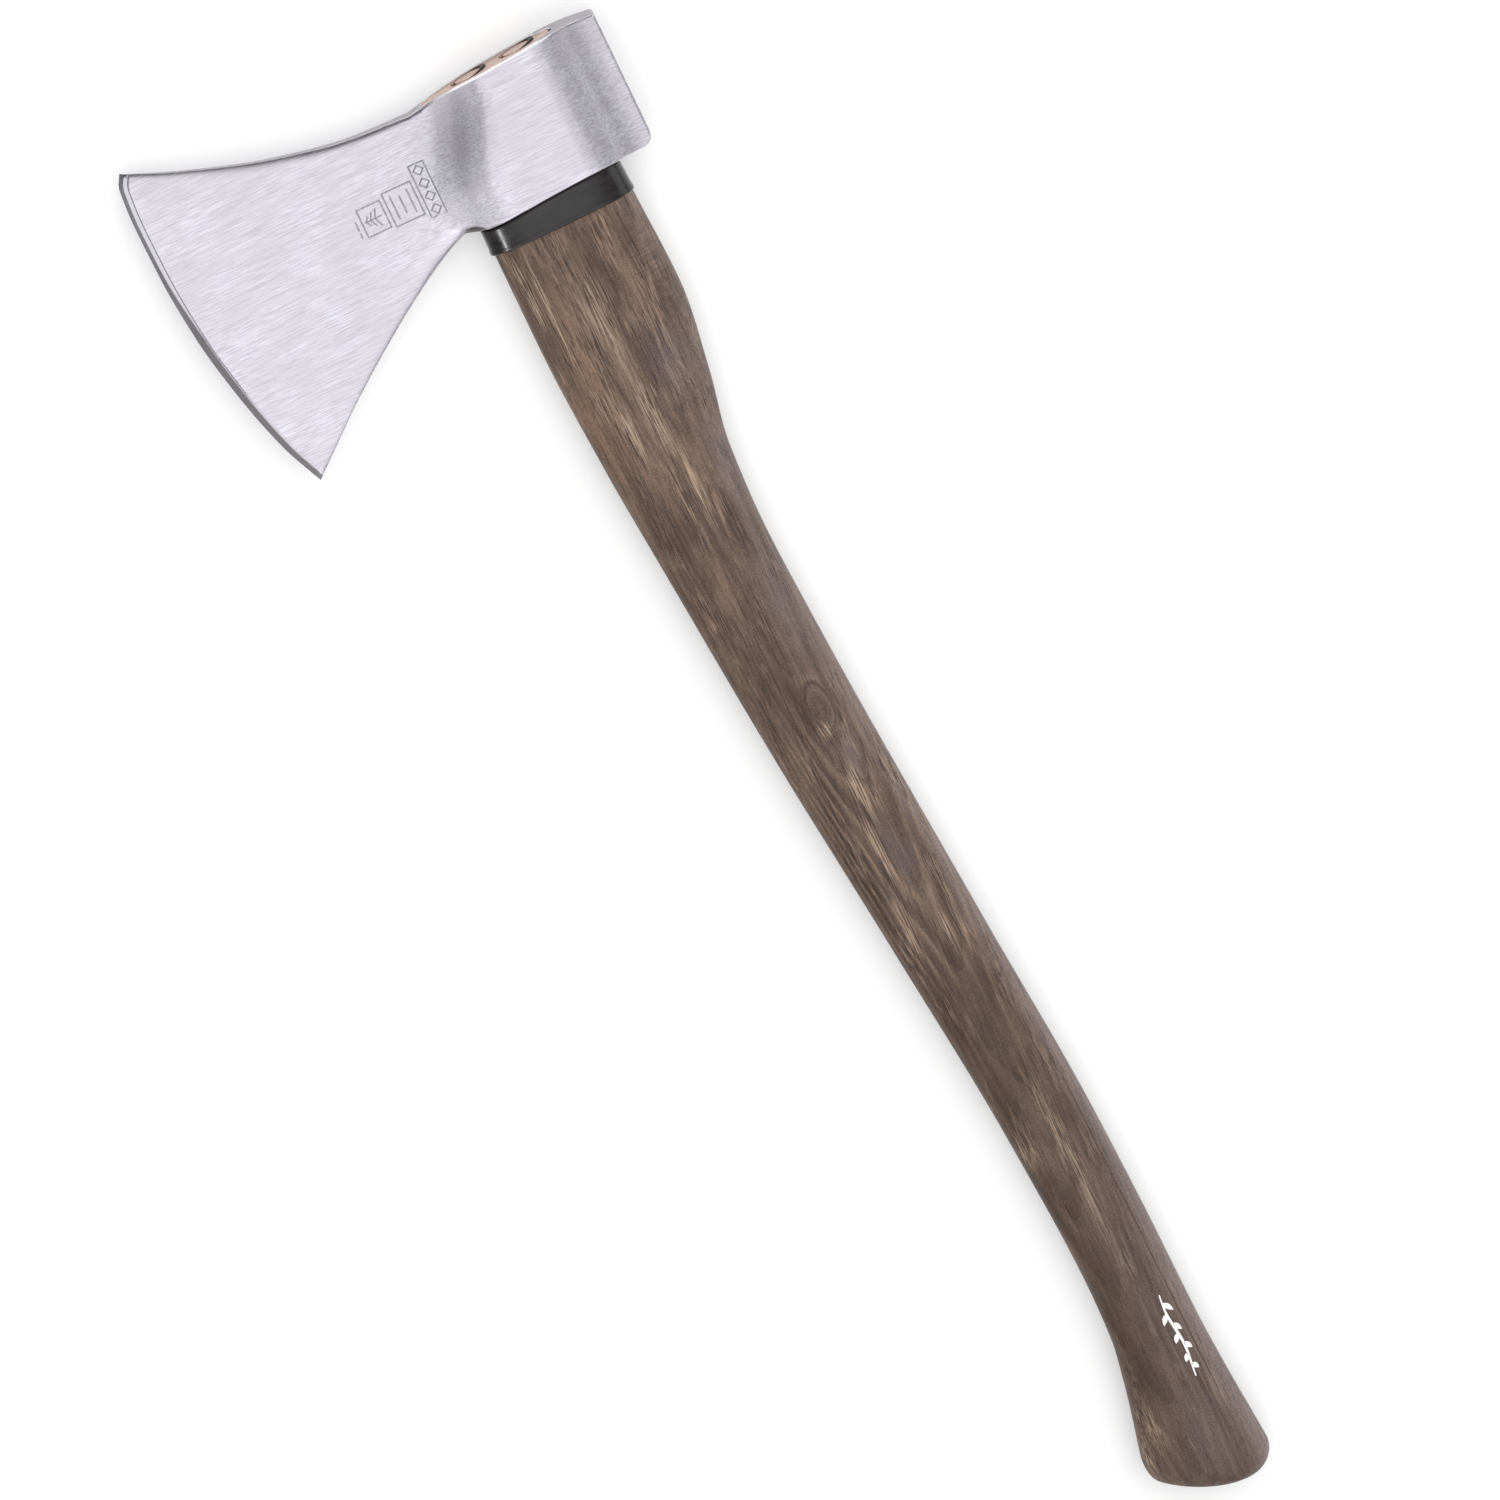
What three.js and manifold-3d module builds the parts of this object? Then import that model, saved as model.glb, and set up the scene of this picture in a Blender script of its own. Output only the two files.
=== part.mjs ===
// Felling axe: a forged steel head hung on a curved hickory handle. Two ring wedges spread the
// handle's tongue inside the eye, and a moulded sleeve guards the wood just under the head.
//
// Millimetres. The axe lies on its side. +X runs from the poll to the cutting edge, +Y runs down
// the handle to the butt, and +Z is up. z = 0 is the flat of the lower cheek, under the eye.
// Inside this file a piece is modelled about the axe's middle plane, and the whole is then lifted.

import * as THREE from 'three';
import { mergeVertices } from 'three/addons/utils/BufferGeometryUtils.js';
import Module from 'manifold-3d';

const wasm = await Module();
wasm.setup();

// ---------------------------------------------------------------- driving dimensions

const HEAD_HALF = 15.5;      // half the head's thickness across its flat cheeks
const POLL_X = -42;          // the flat poll face
const NECK_X = 50;           // where the blade leaves the eye block
const BLADE_REACH = 125;     // from the neck to the cutting edge, along a column of the grid
const BEVEL_WIDTH = 3.8;     // ground bevel along the cutting edge
const EDGE_HALF = 0.2;       // half the land that stands for the sharp edge
const POLL_TOP_RADIUS = 1.2;
const POLL_BASE_RADIUS = 5;

const GAP = 0.3;             // clearance between pieces that touch
const RING_SIDES = 36;       // sides of every lofted section

const EYE_TOP = { back: -22.6, front: 44, half: 11.5, power: 2.0, egg: 0.25 };
const EYE_BASE = { back: -20.0, front: 41.5, half: 11.0, power: 2.0, egg: 0.25 };
const TONGUE_SHORTFALL = 1.6;  // the wood stops short of the back of the eye, at the top only
const EYE_TOP_Y = -34;
const EYE_BASE_Y = 29;

const SHOULDER_TOP_Y = 32.5;
const SLEEVE_BASE_Y = 43.2;
const SLEEVE_CHAMFER = 0.8;
const SHOULDER_TOP = { back: -22.8, front: 41.4, half: 12.4, power: 2.5, egg: 0.06 };
const SHOULDER_BASE = { back: -24.2, front: 42.4, half: 13.6, power: 2.5, egg: 0.06 };
const SLEEVE_TOP = { back: -24.6, front: 43.6, half: 14.3, power: 3.2, egg: 0.06 };
const SLEEVE_BASE = { back: -25.3, front: 44.0, half: 14.9, power: 3.2, egg: 0.06 };

// The butt's end face leans back, so the poll side is the longer one, and it is bowed.
const BUTT_Y = 678;          // where the end face meets the middle of the handle
const BUTT_SLANT = -0.33;
const BUTT_BOW = 0.008;      // per millimetre
const BUTT_ROUND = { back: 16, front: 4.5, half: 7, length: 13 };
const BUTT_CROWN = 0.6;
const SLANT_START_Y = 560;

const WEDGE_OUTER = 8.8;
const WEDGE_WALL = 2.3;
const WEDGE_TIP_WALL = 0.8;
const WEDGE_DEPTH = 9;
const WEDGE_RECESS = 0.1;
const WEDGE_TILT = 7;         // degrees: each ring stands a little proud on its poll side
const WEDGE_FRONT_X = 19;
const WEDGE_REAR_X = -5;

// Outlines in the middle plane. Each is a list of [position, value] pairs.
const HEAD_TOP = [[POLL_X, -35.2], [-30, -35.8], [-12, -34.9], [0, -34], [20, -32.6], [35, -31.2],
    [50, -28.8]];
const HEAD_BASE = [[POLL_X, 28.2], [-17, 28.2], [5, 29], [20, 30], [38, 31.4], [50, 28.9]];
const BLADE_TOP = [[50, -28.8], [75, -30.2], [110, -36.8], [150, -49.8], [174.4, -60.3]];
const BLADE_BASE = [[50, 28.9], [60, 33.4], [80, 44.8], [120, 72.5], [153.5, 100.2]];
const TOE = BLADE_TOP.at(-1);
const HEEL = BLADE_BASE.at(-1);
const CUTTING_EDGE = [[-60.3, 174.4], [-54, 177.4], [-35, 178.5], [-10, 178.1], [20, 175.6],
    [50, 170.2], [80, 162], [100.2, 153.5]];
const HANDLE_BACK = [[43.5, -24.2], [88, -25.7], [130, -20.5], [165, -14.2], [200, -12.7],
    [250, -14.5], [400, -24.3], [500, -31.5], [560, -33.3], [600, -33.8], [678, -38.8]];
const HANDLE_FRONT = [[43.5, 42.4], [90, 42.5], [150, 40], [200, 36.2], [300, 28], [400, 17.6],
    [500, 8.1], [575, 4.6], [600, 5.3], [620, 7.9], [678, 18.2]];
const HANDLE_HALF = [[43.5, 13.6], [90, 13.5], [165, 12], [300, 11.6], [560, 11.9], [610, 13.3],
    [678, 15.4]];

// Half thickness of the head, by station: along its middle, at its top rim and at its base rim.
const MID_HALF = [[POLL_X, 8.8], [-39, 9.05], [-35, 9.55], [-30, 10.6], [-22, 13.3], [-18, 14.35],
    [-14, 15.1], [-9, HEAD_HALF], [15, HEAD_HALF], [22, 15], [30, 12.9], [40, 9.2], [50, 6.8], [65, 5.3],
    [90, 4.1], [120, 3.3], [150, 2.4], [175 - BEVEL_WIDTH, 1.4], [175, EDGE_HALF]];
const TOP_RIM_HALF = [[POLL_X, 1.2], [-38, 3.4], [-30, 8.6], [-22, 12.1], [-12, 14.1], [10, 14.2],
    [20, 12.3], [25, 10.6], [30, 8.9], [36, 7], [40, 6.1], [50, 4.4], [75, 3.2], [150, 1.6],
    [175, EDGE_HALF]];
const BASE_RIM_HALF = [[POLL_X, 5.5], [-30, 9.4], [-22, 12.2], [-12, 14.6], [18, 14.4], [30, 12],
    [40, 8], [50, 4.5], [75, 2.4], [150, 1.5], [175, EDGE_HALF]];
// How far below the rim the head reaches its full thickness.
const TOP_BAND = [[POLL_X, 2.6], [-30, 1.6], [-20, 0.7], [20, 0.7], [40, 1.2], [60, 2.5], [120, 4], [175, 2]];
const BASE_BAND = [[POLL_X, 1.2], [30, 1.2], [42, 3.2], [60, 9], [120, 12], [175, 3]];

// The swell of the eye reaches further towards the blade at its base than at its top.
const LEAN_AT_TOP = -8;
const LEAN_AT_BASE = 7;
const LEAN_HEIGHT = [-34, 16];
const LEAN_START = [4, 22];
const LEAN_END = [60, 100];

const STATIONS = [POLL_X, -41.7, -41, -39.5, -37, -35, -33, -30, -26, -22, -18, -14, -9, -1, 7, 12, 16, 19,
    22, 26, 30, 34, 37, 40, 43, 46, 50, 56, 65, 77, 90, 105, 120, 135, 150, 162, 175 - BEVEL_WIDTH, 175];
const BAND_STEPS = [0, 0.15, 0.45, 1];
const INNER_ROWS = 9;

// ---------------------------------------------------------------- curves and sections

const lerp = THREE.MathUtils.lerp;
const clamp = THREE.MathUtils.clamp;

// A smooth curve through [position, value] pairs that never overshoots, so flats stay flat.
function smooth(pairs) {
    const steps = pairs.length - 1;
    const slopes = [];
    for (let i = 0; i < steps; i++) {
        slopes.push((pairs[i + 1][1] - pairs[i][1]) / (pairs[i + 1][0] - pairs[i][0]));
    }
    const tangents = [slopes[0]];
    for (let i = 1; i < steps; i++) {
        const before = slopes[i - 1];
        const after = slopes[i];
        tangents.push(before * after > 0 ? 2 * before * after / (before + after) : 0);
    }
    tangents.push(slopes[steps - 1]);
    return (position) => {
        let i = 0;
        while (i < steps - 1 && position > pairs[i + 1][0]) i++;
        const width = pairs[i + 1][0] - pairs[i][0];
        const t = clamp((position - pairs[i][0]) / width, 0, 1);
        const rise = t * t * (3 - 2 * t);
        const leave = t * (1 - t) * (1 - t) * width;
        const arrive = t * t * (t - 1) * width;
        return lerp(pairs[i][1], pairs[i + 1][1], rise) + tangents[i] * leave + tangents[i + 1] * arrive;
    };
}

const headTop = smooth(HEAD_TOP);
const headBase = smooth(HEAD_BASE);
const bladeTop = smooth(BLADE_TOP);
const bladeBase = smooth(BLADE_BASE);
const cuttingEdge = smooth(CUTTING_EDGE);
const midHalf = smooth(MID_HALF);
const topRimHalf = smooth(TOP_RIM_HALF);
const baseRimHalf = smooth(BASE_RIM_HALF);
const topBand = smooth(TOP_BAND);
const baseBand = smooth(BASE_BAND);
const handleBack = smooth(HANDLE_BACK);
const handleFront = smooth(HANDLE_FRONT);
const handleHalf = smooth(HANDLE_HALF);
const BUTT_MIDDLE = (handleBack(BUTT_Y) + handleFront(BUTT_Y)) / 2;

// The height that a round corner of the given radius takes off at a distance from its flat.
function cornerDrop(distance, radius) {
    if (distance >= radius) return 0;
    return radius - Math.sqrt(radius * radius - (radius - distance) ** 2);
}

// One point of a closed section: a superellipse, wider towards its back by the egg factor.
function sectionPoint(section, angle, grow) {
    const middle = (section.back + section.front) / 2;
    const reach = (section.front - section.back) / 2 + grow;
    const cos = Math.cos(angle);
    const sin = Math.sin(angle);
    const along = Math.sign(cos) * Math.abs(cos) ** (2 / section.power);
    const across = Math.sign(sin) * Math.abs(sin) ** (2 / section.power);
    return { x: middle + reach * along, z: (section.half + grow) * across * (1 - section.egg * cos) };
}

function blendSections(a, b, t) {
    const mixed = {};
    for (const key of Object.keys(a)) mixed[key] = lerp(a[key], b[key], t);
    return mixed;
}

function shrunk(section, factor) {
    const middle = (section.back + section.front) / 2;
    return {
        ...section,
        back: lerp(middle, section.back, factor),
        front: lerp(middle, section.front, factor),
        half: section.half * factor,
    };
}

// A ring of points around a section. heightAt gives y from the point's own x.
function ring(section, heightAt, grow = 0) {
    const points = [];
    for (let i = 0; i < RING_SIDES; i++) {
        const { x, z } = sectionPoint(section, 2 * Math.PI * i / RING_SIDES, grow);
        points.push([x, heightAt(x), z]);
    }
    return points;
}

// ---------------------------------------------------------------- solids

function geometryFrom(points, triangles) {
    const geometry = new THREE.BufferGeometry();
    geometry.setAttribute('position', new THREE.Float32BufferAttribute(points.flat(), 3));
    geometry.setIndex(triangles.flat());
    return geometry;
}

// Faces between one ring and the next, which lies further along +Y on the outside of a solid.
function wallBetween(first, second) {
    const triangles = [];
    for (let i = 0; i < RING_SIDES; i++) {
        const j = (i + 1) % RING_SIDES;
        triangles.push([first + i, second + i, second + j], [first + i, second + j, first + j]);
    }
    return triangles;
}

// A face across a ring, in strips between the points that mirror each other in z.
function capAcross(start, faceDown) {
    const triangles = [];
    for (let i = 0; i < RING_SIDES / 2; i++) {
        const a = start + i;
        const b = start + i + 1;
        const c = start + RING_SIDES - i - 1;
        const d = start + (RING_SIDES - i) % RING_SIDES;
        if (b !== c) triangles.push([a, b, c]);
        if (a !== d) triangles.push([a, c, d]);
    }
    return faceDown ? triangles : triangles.map(([a, b, c]) => [a, c, b]);
}

// A solid through rings that follow each other along +Y.
function loft(rings) {
    const triangles = capAcross(0, true);
    for (let i = 0; i + 1 < rings.length; i++) {
        triangles.push(...wallBetween(i * RING_SIDES, (i + 1) * RING_SIDES));
    }
    triangles.push(...capAcross((rings.length - 1) * RING_SIDES, false));
    return geometryFrom(rings.flat(), triangles);
}

// A hollow collar: its rings go down the outside and back up the inside.
function collar(rings) {
    const triangles = [];
    for (let i = 0; i < rings.length; i++) {
        triangles.push(...wallBetween(i * RING_SIDES, ((i + 1) % rings.length) * RING_SIDES));
    }
    return geometryFrom(rings.flat(), triangles);
}

// A solid from a grid of points on its upper side, mirrored in z and closed around its border.
function mirroredSolid(grid) {
    const columns = grid.length;
    const rows = grid[0].length;
    const near = grid.flat();
    const points = [...near, ...near.map(([x, y, z]) => [x, y, -z])];
    const at = (column, row) => column * rows + row;
    const mirror = near.length;
    const triangles = [];
    const border = [];
    for (let c = 0; c + 1 < columns; c++) {
        for (let r = 0; r + 1 < rows; r++) {
            const corners = [at(c, r), at(c + 1, r), at(c + 1, r + 1), at(c, r + 1)];
            const [p, q, s, t] = corners;
            triangles.push([p, q, s], [p, s, t]);
            triangles.push([p + mirror, s + mirror, q + mirror], [p + mirror, t + mirror, s + mirror]);
        }
    }
    for (let c = 0; c < columns; c++) border.push(at(c, 0));
    for (let r = 1; r < rows; r++) border.push(at(columns - 1, r));
    for (let c = columns - 2; c >= 0; c--) border.push(at(c, rows - 1));
    for (let r = rows - 2; r > 0; r--) border.push(at(0, r));
    border.forEach((a, i) => {
        const b = border[(i + 1) % border.length];
        triangles.push([a, a + mirror, b + mirror], [a, b + mirror, b]);
    });
    return geometryFrom(points, triangles);
}

function toManifold(geometry) {
    const bare = geometry.clone();
    bare.deleteAttribute('normal');
    bare.deleteAttribute('uv');
    const merged = mergeVertices(bare, 1e-4);
    const mesh = new wasm.Mesh({
        numProp: 3,
        vertProperties: new Float32Array(merged.attributes.position.array),
        triVerts: new Uint32Array(merged.index.array),
    });
    return new wasm.Manifold(mesh);
}

function fromManifold(solid) {
    const mesh = solid.getMesh();
    const geometry = new THREE.BufferGeometry();
    geometry.setAttribute('position', new THREE.Float32BufferAttribute(mesh.vertProperties, 3));
    geometry.setIndex(Array.from(mesh.triVerts));
    return geometry;
}

// ---------------------------------------------------------------- the head

// The blade is a patch between the neck line, the cutting edge and its top and base outlines.
function bladePoint(t, v) {
    const topX = lerp(NECK_X, TOE[0], t);
    const baseX = lerp(NECK_X, HEEL[0], t);
    const edgeY = lerp(TOE[1], HEEL[1], v);
    const top = [topX, bladeTop(topX)];
    const base = [baseX, bladeBase(baseX)];
    const neck = [NECK_X, lerp(bladeTop(NECK_X), bladeBase(NECK_X), v)];
    const edge = [cuttingEdge(edgeY), edgeY];
    return [0, 1].map((k) => {
        const ruled = lerp(neck[k], edge[k], t) + lerp(top[k], base[k], v);
        return ruled - lerp(neck[k], lerp(TOE[k], HEEL[k], v), t);
    });
}

function eyeBlockPoint(x, v) {
    const top = headTop(x) + cornerDrop(x - POLL_X, POLL_TOP_RADIUS);
    const base = headBase(x) - cornerDrop(x - POLL_X, POLL_BASE_RADIUS);
    return [x, lerp(top, base, v)];
}

function headPoint(station, v) {
    if (station <= NECK_X) return eyeBlockPoint(station, v);
    return bladePoint((station - NECK_X) / BLADE_REACH, v);
}

// How far the swell of the eye is shifted towards the blade.
function neckLean(station, y) {
    const { smoothstep } = THREE.MathUtils;
    const share = smoothstep(station, ...LEAN_START) * (1 - smoothstep(station, ...LEAN_END));
    return share * lerp(LEAN_AT_TOP, LEAN_AT_BASE, smoothstep(y, ...LEAN_HEIGHT));
}

// Rises like a quarter circle from 0 at the rim to 1 at the end of the band.
function roundOver(distance, band) {
    const left = 1 - clamp(distance / band, 0, 1);
    return Math.sqrt(1 - left * left);
}

function headHalf(station, y, fromTop, fromBase) {
    const full = midHalf(station - neckLean(station, y));
    const topRim = Math.min(topRimHalf(station), full);
    const baseRim = Math.min(baseRimHalf(station), full);
    const topLoss = (full - topRim) * (1 - roundOver(fromTop, topBand(station)));
    const baseLoss = (full - baseRim) * (1 - roundOver(fromBase, baseBand(station)));
    return full - topLoss - baseLoss;
}

function headColumn(station) {
    const height = headPoint(station, 1)[1] - headPoint(station, 0)[1];
    const top = topBand(station);
    const base = baseBand(station);
    const depths = BAND_STEPS.map((step) => step * top);
    for (let row = 1; row < INNER_ROWS; row++) {
        depths.push(lerp(top, height - base, row / INNER_ROWS));
    }
    depths.push(...BAND_STEPS.map((step) => height - step * base).reverse());
    return depths.map((depth) => {
        const [x, y] = headPoint(station, depth / height);
        return [x, y, headHalf(station, y, depth, height - depth)];
    });
}

function eyeCutter() {
    const overrun = 8;
    const rings = [EYE_TOP_Y - overrun, EYE_TOP_Y, EYE_BASE_Y, EYE_BASE_Y + overrun].map((y) => {
        const t = clamp((y - EYE_TOP_Y) / (EYE_BASE_Y - EYE_TOP_Y), 0, 1);
        return ring(blendSections(EYE_TOP, EYE_BASE, t), () => y);
    });
    return loft(rings);
}

function headGeometry() {
    const forging = toManifold(mirroredSolid(STATIONS.map(headColumn)));
    return fromManifold(forging.subtract(toManifold(eyeCutter())));
}

// ---------------------------------------------------------------- the handle

function handleSection(y) {
    return { back: handleBack(y), front: handleFront(y), half: handleHalf(y), power: 2.3, egg: 0.05 };
}

// The ring at y, leaning and bowed like the butt's end face as it comes near it.
function leaningRing(section, y, rise = 0) {
    const t = clamp((y - SLANT_START_Y) / (BUTT_Y - SLANT_START_Y), 0, 1);
    const lean = t * t * (3 - 2 * t);
    return ring(section, (x) => {
        const offset = x - BUTT_MIDDLE;
        return y + rise + lean * (BUTT_SLANT * offset - BUTT_BOW * offset * offset);
    });
}

function tongueRings() {
    const rows = [EYE_TOP_Y + 6, 0, EYE_BASE_Y, SHOULDER_TOP_Y];
    const rings = [ring({ ...EYE_TOP, back: EYE_TOP.back + TONGUE_SHORTFALL }, headTop, -GAP)];
    for (const y of rows) {
        const t = clamp((y - EYE_TOP_Y) / (EYE_BASE_Y - EYE_TOP_Y), 0, 1);
        rings.push(ring(blendSections(EYE_TOP, EYE_BASE, t), () => y, -GAP));
    }
    return rings;
}

function shoulderRings() {
    return [
        ring(SHOULDER_TOP, () => SHOULDER_TOP_Y),
        ring(SHOULDER_BASE, () => SLEEVE_BASE_Y + GAP),
    ];
}

function shaftRings() {
    const step = 18;
    const rings = [];
    for (let y = 58; y < BUTT_Y - BUTT_ROUND.length - 2; y += step) {
        rings.push(leaningRing(handleSection(y), y));
    }
    return rings;
}

// The end face: a rounded rim, wider at the poll side, then a low crown.
function buttRings() {
    const turns = 5;
    const face = handleSection(BUTT_Y);
    const inset = (section, amount) => ({
        ...section,
        back: section.back + BUTT_ROUND.back * amount,
        front: section.front - BUTT_ROUND.front * amount,
        half: section.half - BUTT_ROUND.half * amount,
    });
    const rings = [];
    for (let i = 0; i <= turns; i++) {
        const angle = (Math.PI / 2) * i / turns;
        const y = BUTT_Y - BUTT_ROUND.length * (1 - Math.sin(angle));
        rings.push(leaningRing(inset(handleSection(y), 1 - Math.cos(angle)), y));
    }
    for (const factor of [0.75, 0.45]) {
        const rise = BUTT_CROWN * (1 - factor * factor);
        rings.push(leaningRing(shrunk(inset(face, 1), factor), BUTT_Y, rise));
    }
    return rings;
}

function handleGeometry(wedges) {
    const rings = [...tongueRings(), ...shoulderRings(), ...shaftRings(), ...buttRings()];
    let wood = toManifold(loft(rings));
    for (const x of wedges) wood = wood.subtract(toManifold(wedgeGroove(x)));
    return fromManifold(wood);
}

// ---------------------------------------------------------------- the sleeve

function sleeveGeometry() {
    const underHead = (x) => headBase(x) + GAP;
    const base = SLEEVE_BASE_Y;
    return collar([
        ring(SLEEVE_TOP, underHead),
        ring(SLEEVE_BASE, () => base - SLEEVE_CHAMFER),
        ring(SLEEVE_BASE, () => base, -SLEEVE_CHAMFER / 2),
        ring(SHOULDER_BASE, () => base, GAP),
        ring(SHOULDER_TOP, () => SHOULDER_TOP_Y, GAP),
        ring(SHOULDER_TOP, underHead, GAP),
    ]);
}

// ---------------------------------------------------------------- the ring wedges

// A ring with a wedge-shaped wall, its axis along Y and its blunt end at y = 0.
function wedgeRing(clearance, overrun) {
    const outer = WEDGE_OUTER + clearance;
    const inner = WEDGE_OUTER - WEDGE_WALL - clearance;
    const thinning = (WEDGE_WALL - WEDGE_TIP_WALL) / 2;
    const depth = WEDGE_DEPTH + clearance;
    const profile = [[inner, -overrun], [outer, -overrun], [outer - thinning, depth],
        [inner + thinning, depth], [inner, -overrun]];
    return new THREE.LatheGeometry(profile.map(([r, y]) => new THREE.Vector2(r, y)), RING_SIDES);
}

// The wedge follows the slope of the head's top face, but for its tilt.
function wedgePlacement(x) {
    const slope = (headTop(x + 1) - headTop(x - 1)) / 2;
    const position = new THREE.Vector3(x, headTop(x) + WEDGE_RECESS, 0);
    return { position, angle: Math.atan(slope) + THREE.MathUtils.degToRad(WEDGE_TILT) };
}

function wedgeGroove(x) {
    const { position, angle } = wedgePlacement(x);
    const geometry = wedgeRing(GAP, 4);
    geometry.rotateZ(angle);
    geometry.translate(position.x, position.y, position.z);
    return geometry;
}

// ---------------------------------------------------------------- the assembly

function piece(name, geometry, color, roughness, metalness) {
    const material = new THREE.MeshStandardMaterial({ color, roughness, metalness });
    const mesh = new THREE.Mesh(geometry, material);
    mesh.name = name;
    return mesh;
}

function ringWedge(name, x) {
    const mesh = piece(name, wedgeRing(0, 0), 0x6b6866, 0.45, 0.9);
    const { position, angle } = wedgePlacement(x);
    mesh.position.copy(position);
    mesh.rotation.z = angle;
    return mesh;
}

const axe = new THREE.Group();
axe.position.z = HEAD_HALF;
axe.add(piece('axe_head', headGeometry(), 0xcfcdd4, 0.38, 0.95));
axe.add(piece('handle', handleGeometry([WEDGE_FRONT_X, WEDGE_REAR_X]), 0x7d6858, 0.6, 0));
axe.add(piece('guard_sleeve', sleeveGeometry(), 0x2b2a2a, 0.5, 0));
axe.add(ringWedge('ring_wedge_front', WEDGE_FRONT_X));
axe.add(ringWedge('ring_wedge_rear', WEDGE_REAR_X));

const group = new THREE.Group();
group.add(axe);

export default group;
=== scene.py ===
# Looks of the felling axe: fine meshes and finishes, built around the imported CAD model.
#
# Objects are in metres in the row frame. The axe lies on its side: +X runs from the poll to the cutting
# edge, +Y runs down the handle to the butt, and +Z is up. Shapes are worked out in millimetres about the
# axe's middle plane, from the same outlines as the CAD model, and become metres when a mesh is made.

from collections import namedtuple

import bmesh
import bpy
import numpy as np
from mathutils import Matrix, Vector
from mathutils.bvhtree import BVHTree


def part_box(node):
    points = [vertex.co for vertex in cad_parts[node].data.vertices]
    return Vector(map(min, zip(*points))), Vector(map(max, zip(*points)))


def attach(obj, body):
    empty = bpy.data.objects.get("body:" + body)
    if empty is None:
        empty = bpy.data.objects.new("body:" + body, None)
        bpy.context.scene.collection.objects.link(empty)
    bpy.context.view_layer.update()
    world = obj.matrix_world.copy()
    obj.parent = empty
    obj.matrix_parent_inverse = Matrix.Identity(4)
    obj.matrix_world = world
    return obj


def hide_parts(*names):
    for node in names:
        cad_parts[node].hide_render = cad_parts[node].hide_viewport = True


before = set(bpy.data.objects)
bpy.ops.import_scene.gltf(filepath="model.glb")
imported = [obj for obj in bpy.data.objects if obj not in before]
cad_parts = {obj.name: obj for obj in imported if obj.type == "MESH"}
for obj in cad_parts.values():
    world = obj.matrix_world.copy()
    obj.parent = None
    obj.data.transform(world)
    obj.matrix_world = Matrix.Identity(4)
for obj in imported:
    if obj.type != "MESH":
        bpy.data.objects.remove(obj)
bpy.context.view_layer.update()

MM = 0.001
HEAD_LOW, HEAD_HIGH = (np.array(corner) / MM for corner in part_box("axe_head"))
MIDDLE_Z = (HEAD_LOW[2] + HEAD_HIGH[2]) / 2
HEAD_HALF = (HEAD_HIGH[2] - HEAD_LOW[2]) / 2
POLL_X = HEAD_LOW[0]

# ---------------------------------------------------------------- driving dimensions

NECK_X = 50
BLADE_REACH = 125
EDGE_X = NECK_X + BLADE_REACH
EDGE_HALF = 0.12

# The ground bevel starts at a fine line. Its outer part is honed, more widely at the heel than at the toe.
BEVEL_WIDTH = 3.8
BEVEL_START = EDGE_X - BEVEL_WIDTH
BEVEL_HALF = 1.4
HONED_HALF = 1.27
HONED_AT_TOE = 1.7
HONED_AT_HEEL = 3.2
HONED_RANGE = (-20, 30)
BEVEL_LINE_WIDTH = 0.8
BEVEL_LINE_DEPTH = 0.27
BEVEL_LINE_AT_HEEL = 0.1
BEVEL_LINE_RANGE = (25, 60)

POLL_TOP_RADIUS = 1.2
POLL_BASE_RADIUS = 5
POLL_EDGE_RADIUS = 0.45

Section = namedtuple("Section", "back front half power egg")
EYE_TOP = Section(-22.6, 44, 11.5, 2.0, 0.25)
EYE_BASE = Section(-20.0, 41.5, 11.0, 2.0, 0.25)
EYE_TOP_Y = -34
EYE_BASE_Y = 29
EYE_CHAMFER = 0.35
TONGUE_GAP = 0.12
TONGUE_SHORTFALL = 1.6

SHOULDER_TOP_Y = 32.5
SLEEVE_BASE_Y = 43.2
SHOULDER_TOP = Section(-22.8, 41.4, 12.4, 2.5, 0.06)
SHOULDER_BASE = Section(-24.2, 42.4, 13.6, 2.5, 0.06)
SLEEVE_TOP = Section(-24.6, 43.6, 14.3, 3.2, 0.06)
SLEEVE_BASE = Section(-25.3, 44.0, 14.9, 3.2, 0.06)
SLEEVE_GAP = 0.3
SLEEVE_HOLLOW = 0.1

BUTT_Y = 678
BUTT_SLANT = -0.33
BUTT_BOW = 0.008
BUTT_ROUND_BACK, BUTT_ROUND_FRONT, BUTT_ROUND_HALF, BUTT_ROUND_LENGTH = 16, 4.5, 7, 13
BUTT_CROWN = 0.6
SLANT_START_Y = 560

WEDGE_OUTER = 8.8
WEDGE_WALL = 2.3
WEDGE_TIP_WALL = 0.8
WEDGE_DEPTH = 9
WEDGE_RECESS = 0.1
WEDGE_TILT = 7
WEDGE_NICK = 0.22
WEDGE_X = {"ring_wedge_front": 19, "ring_wedge_rear": -5}
GROOVE_CLEARANCE = 0.18
GROOVE_OVERRUN = 3

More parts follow.
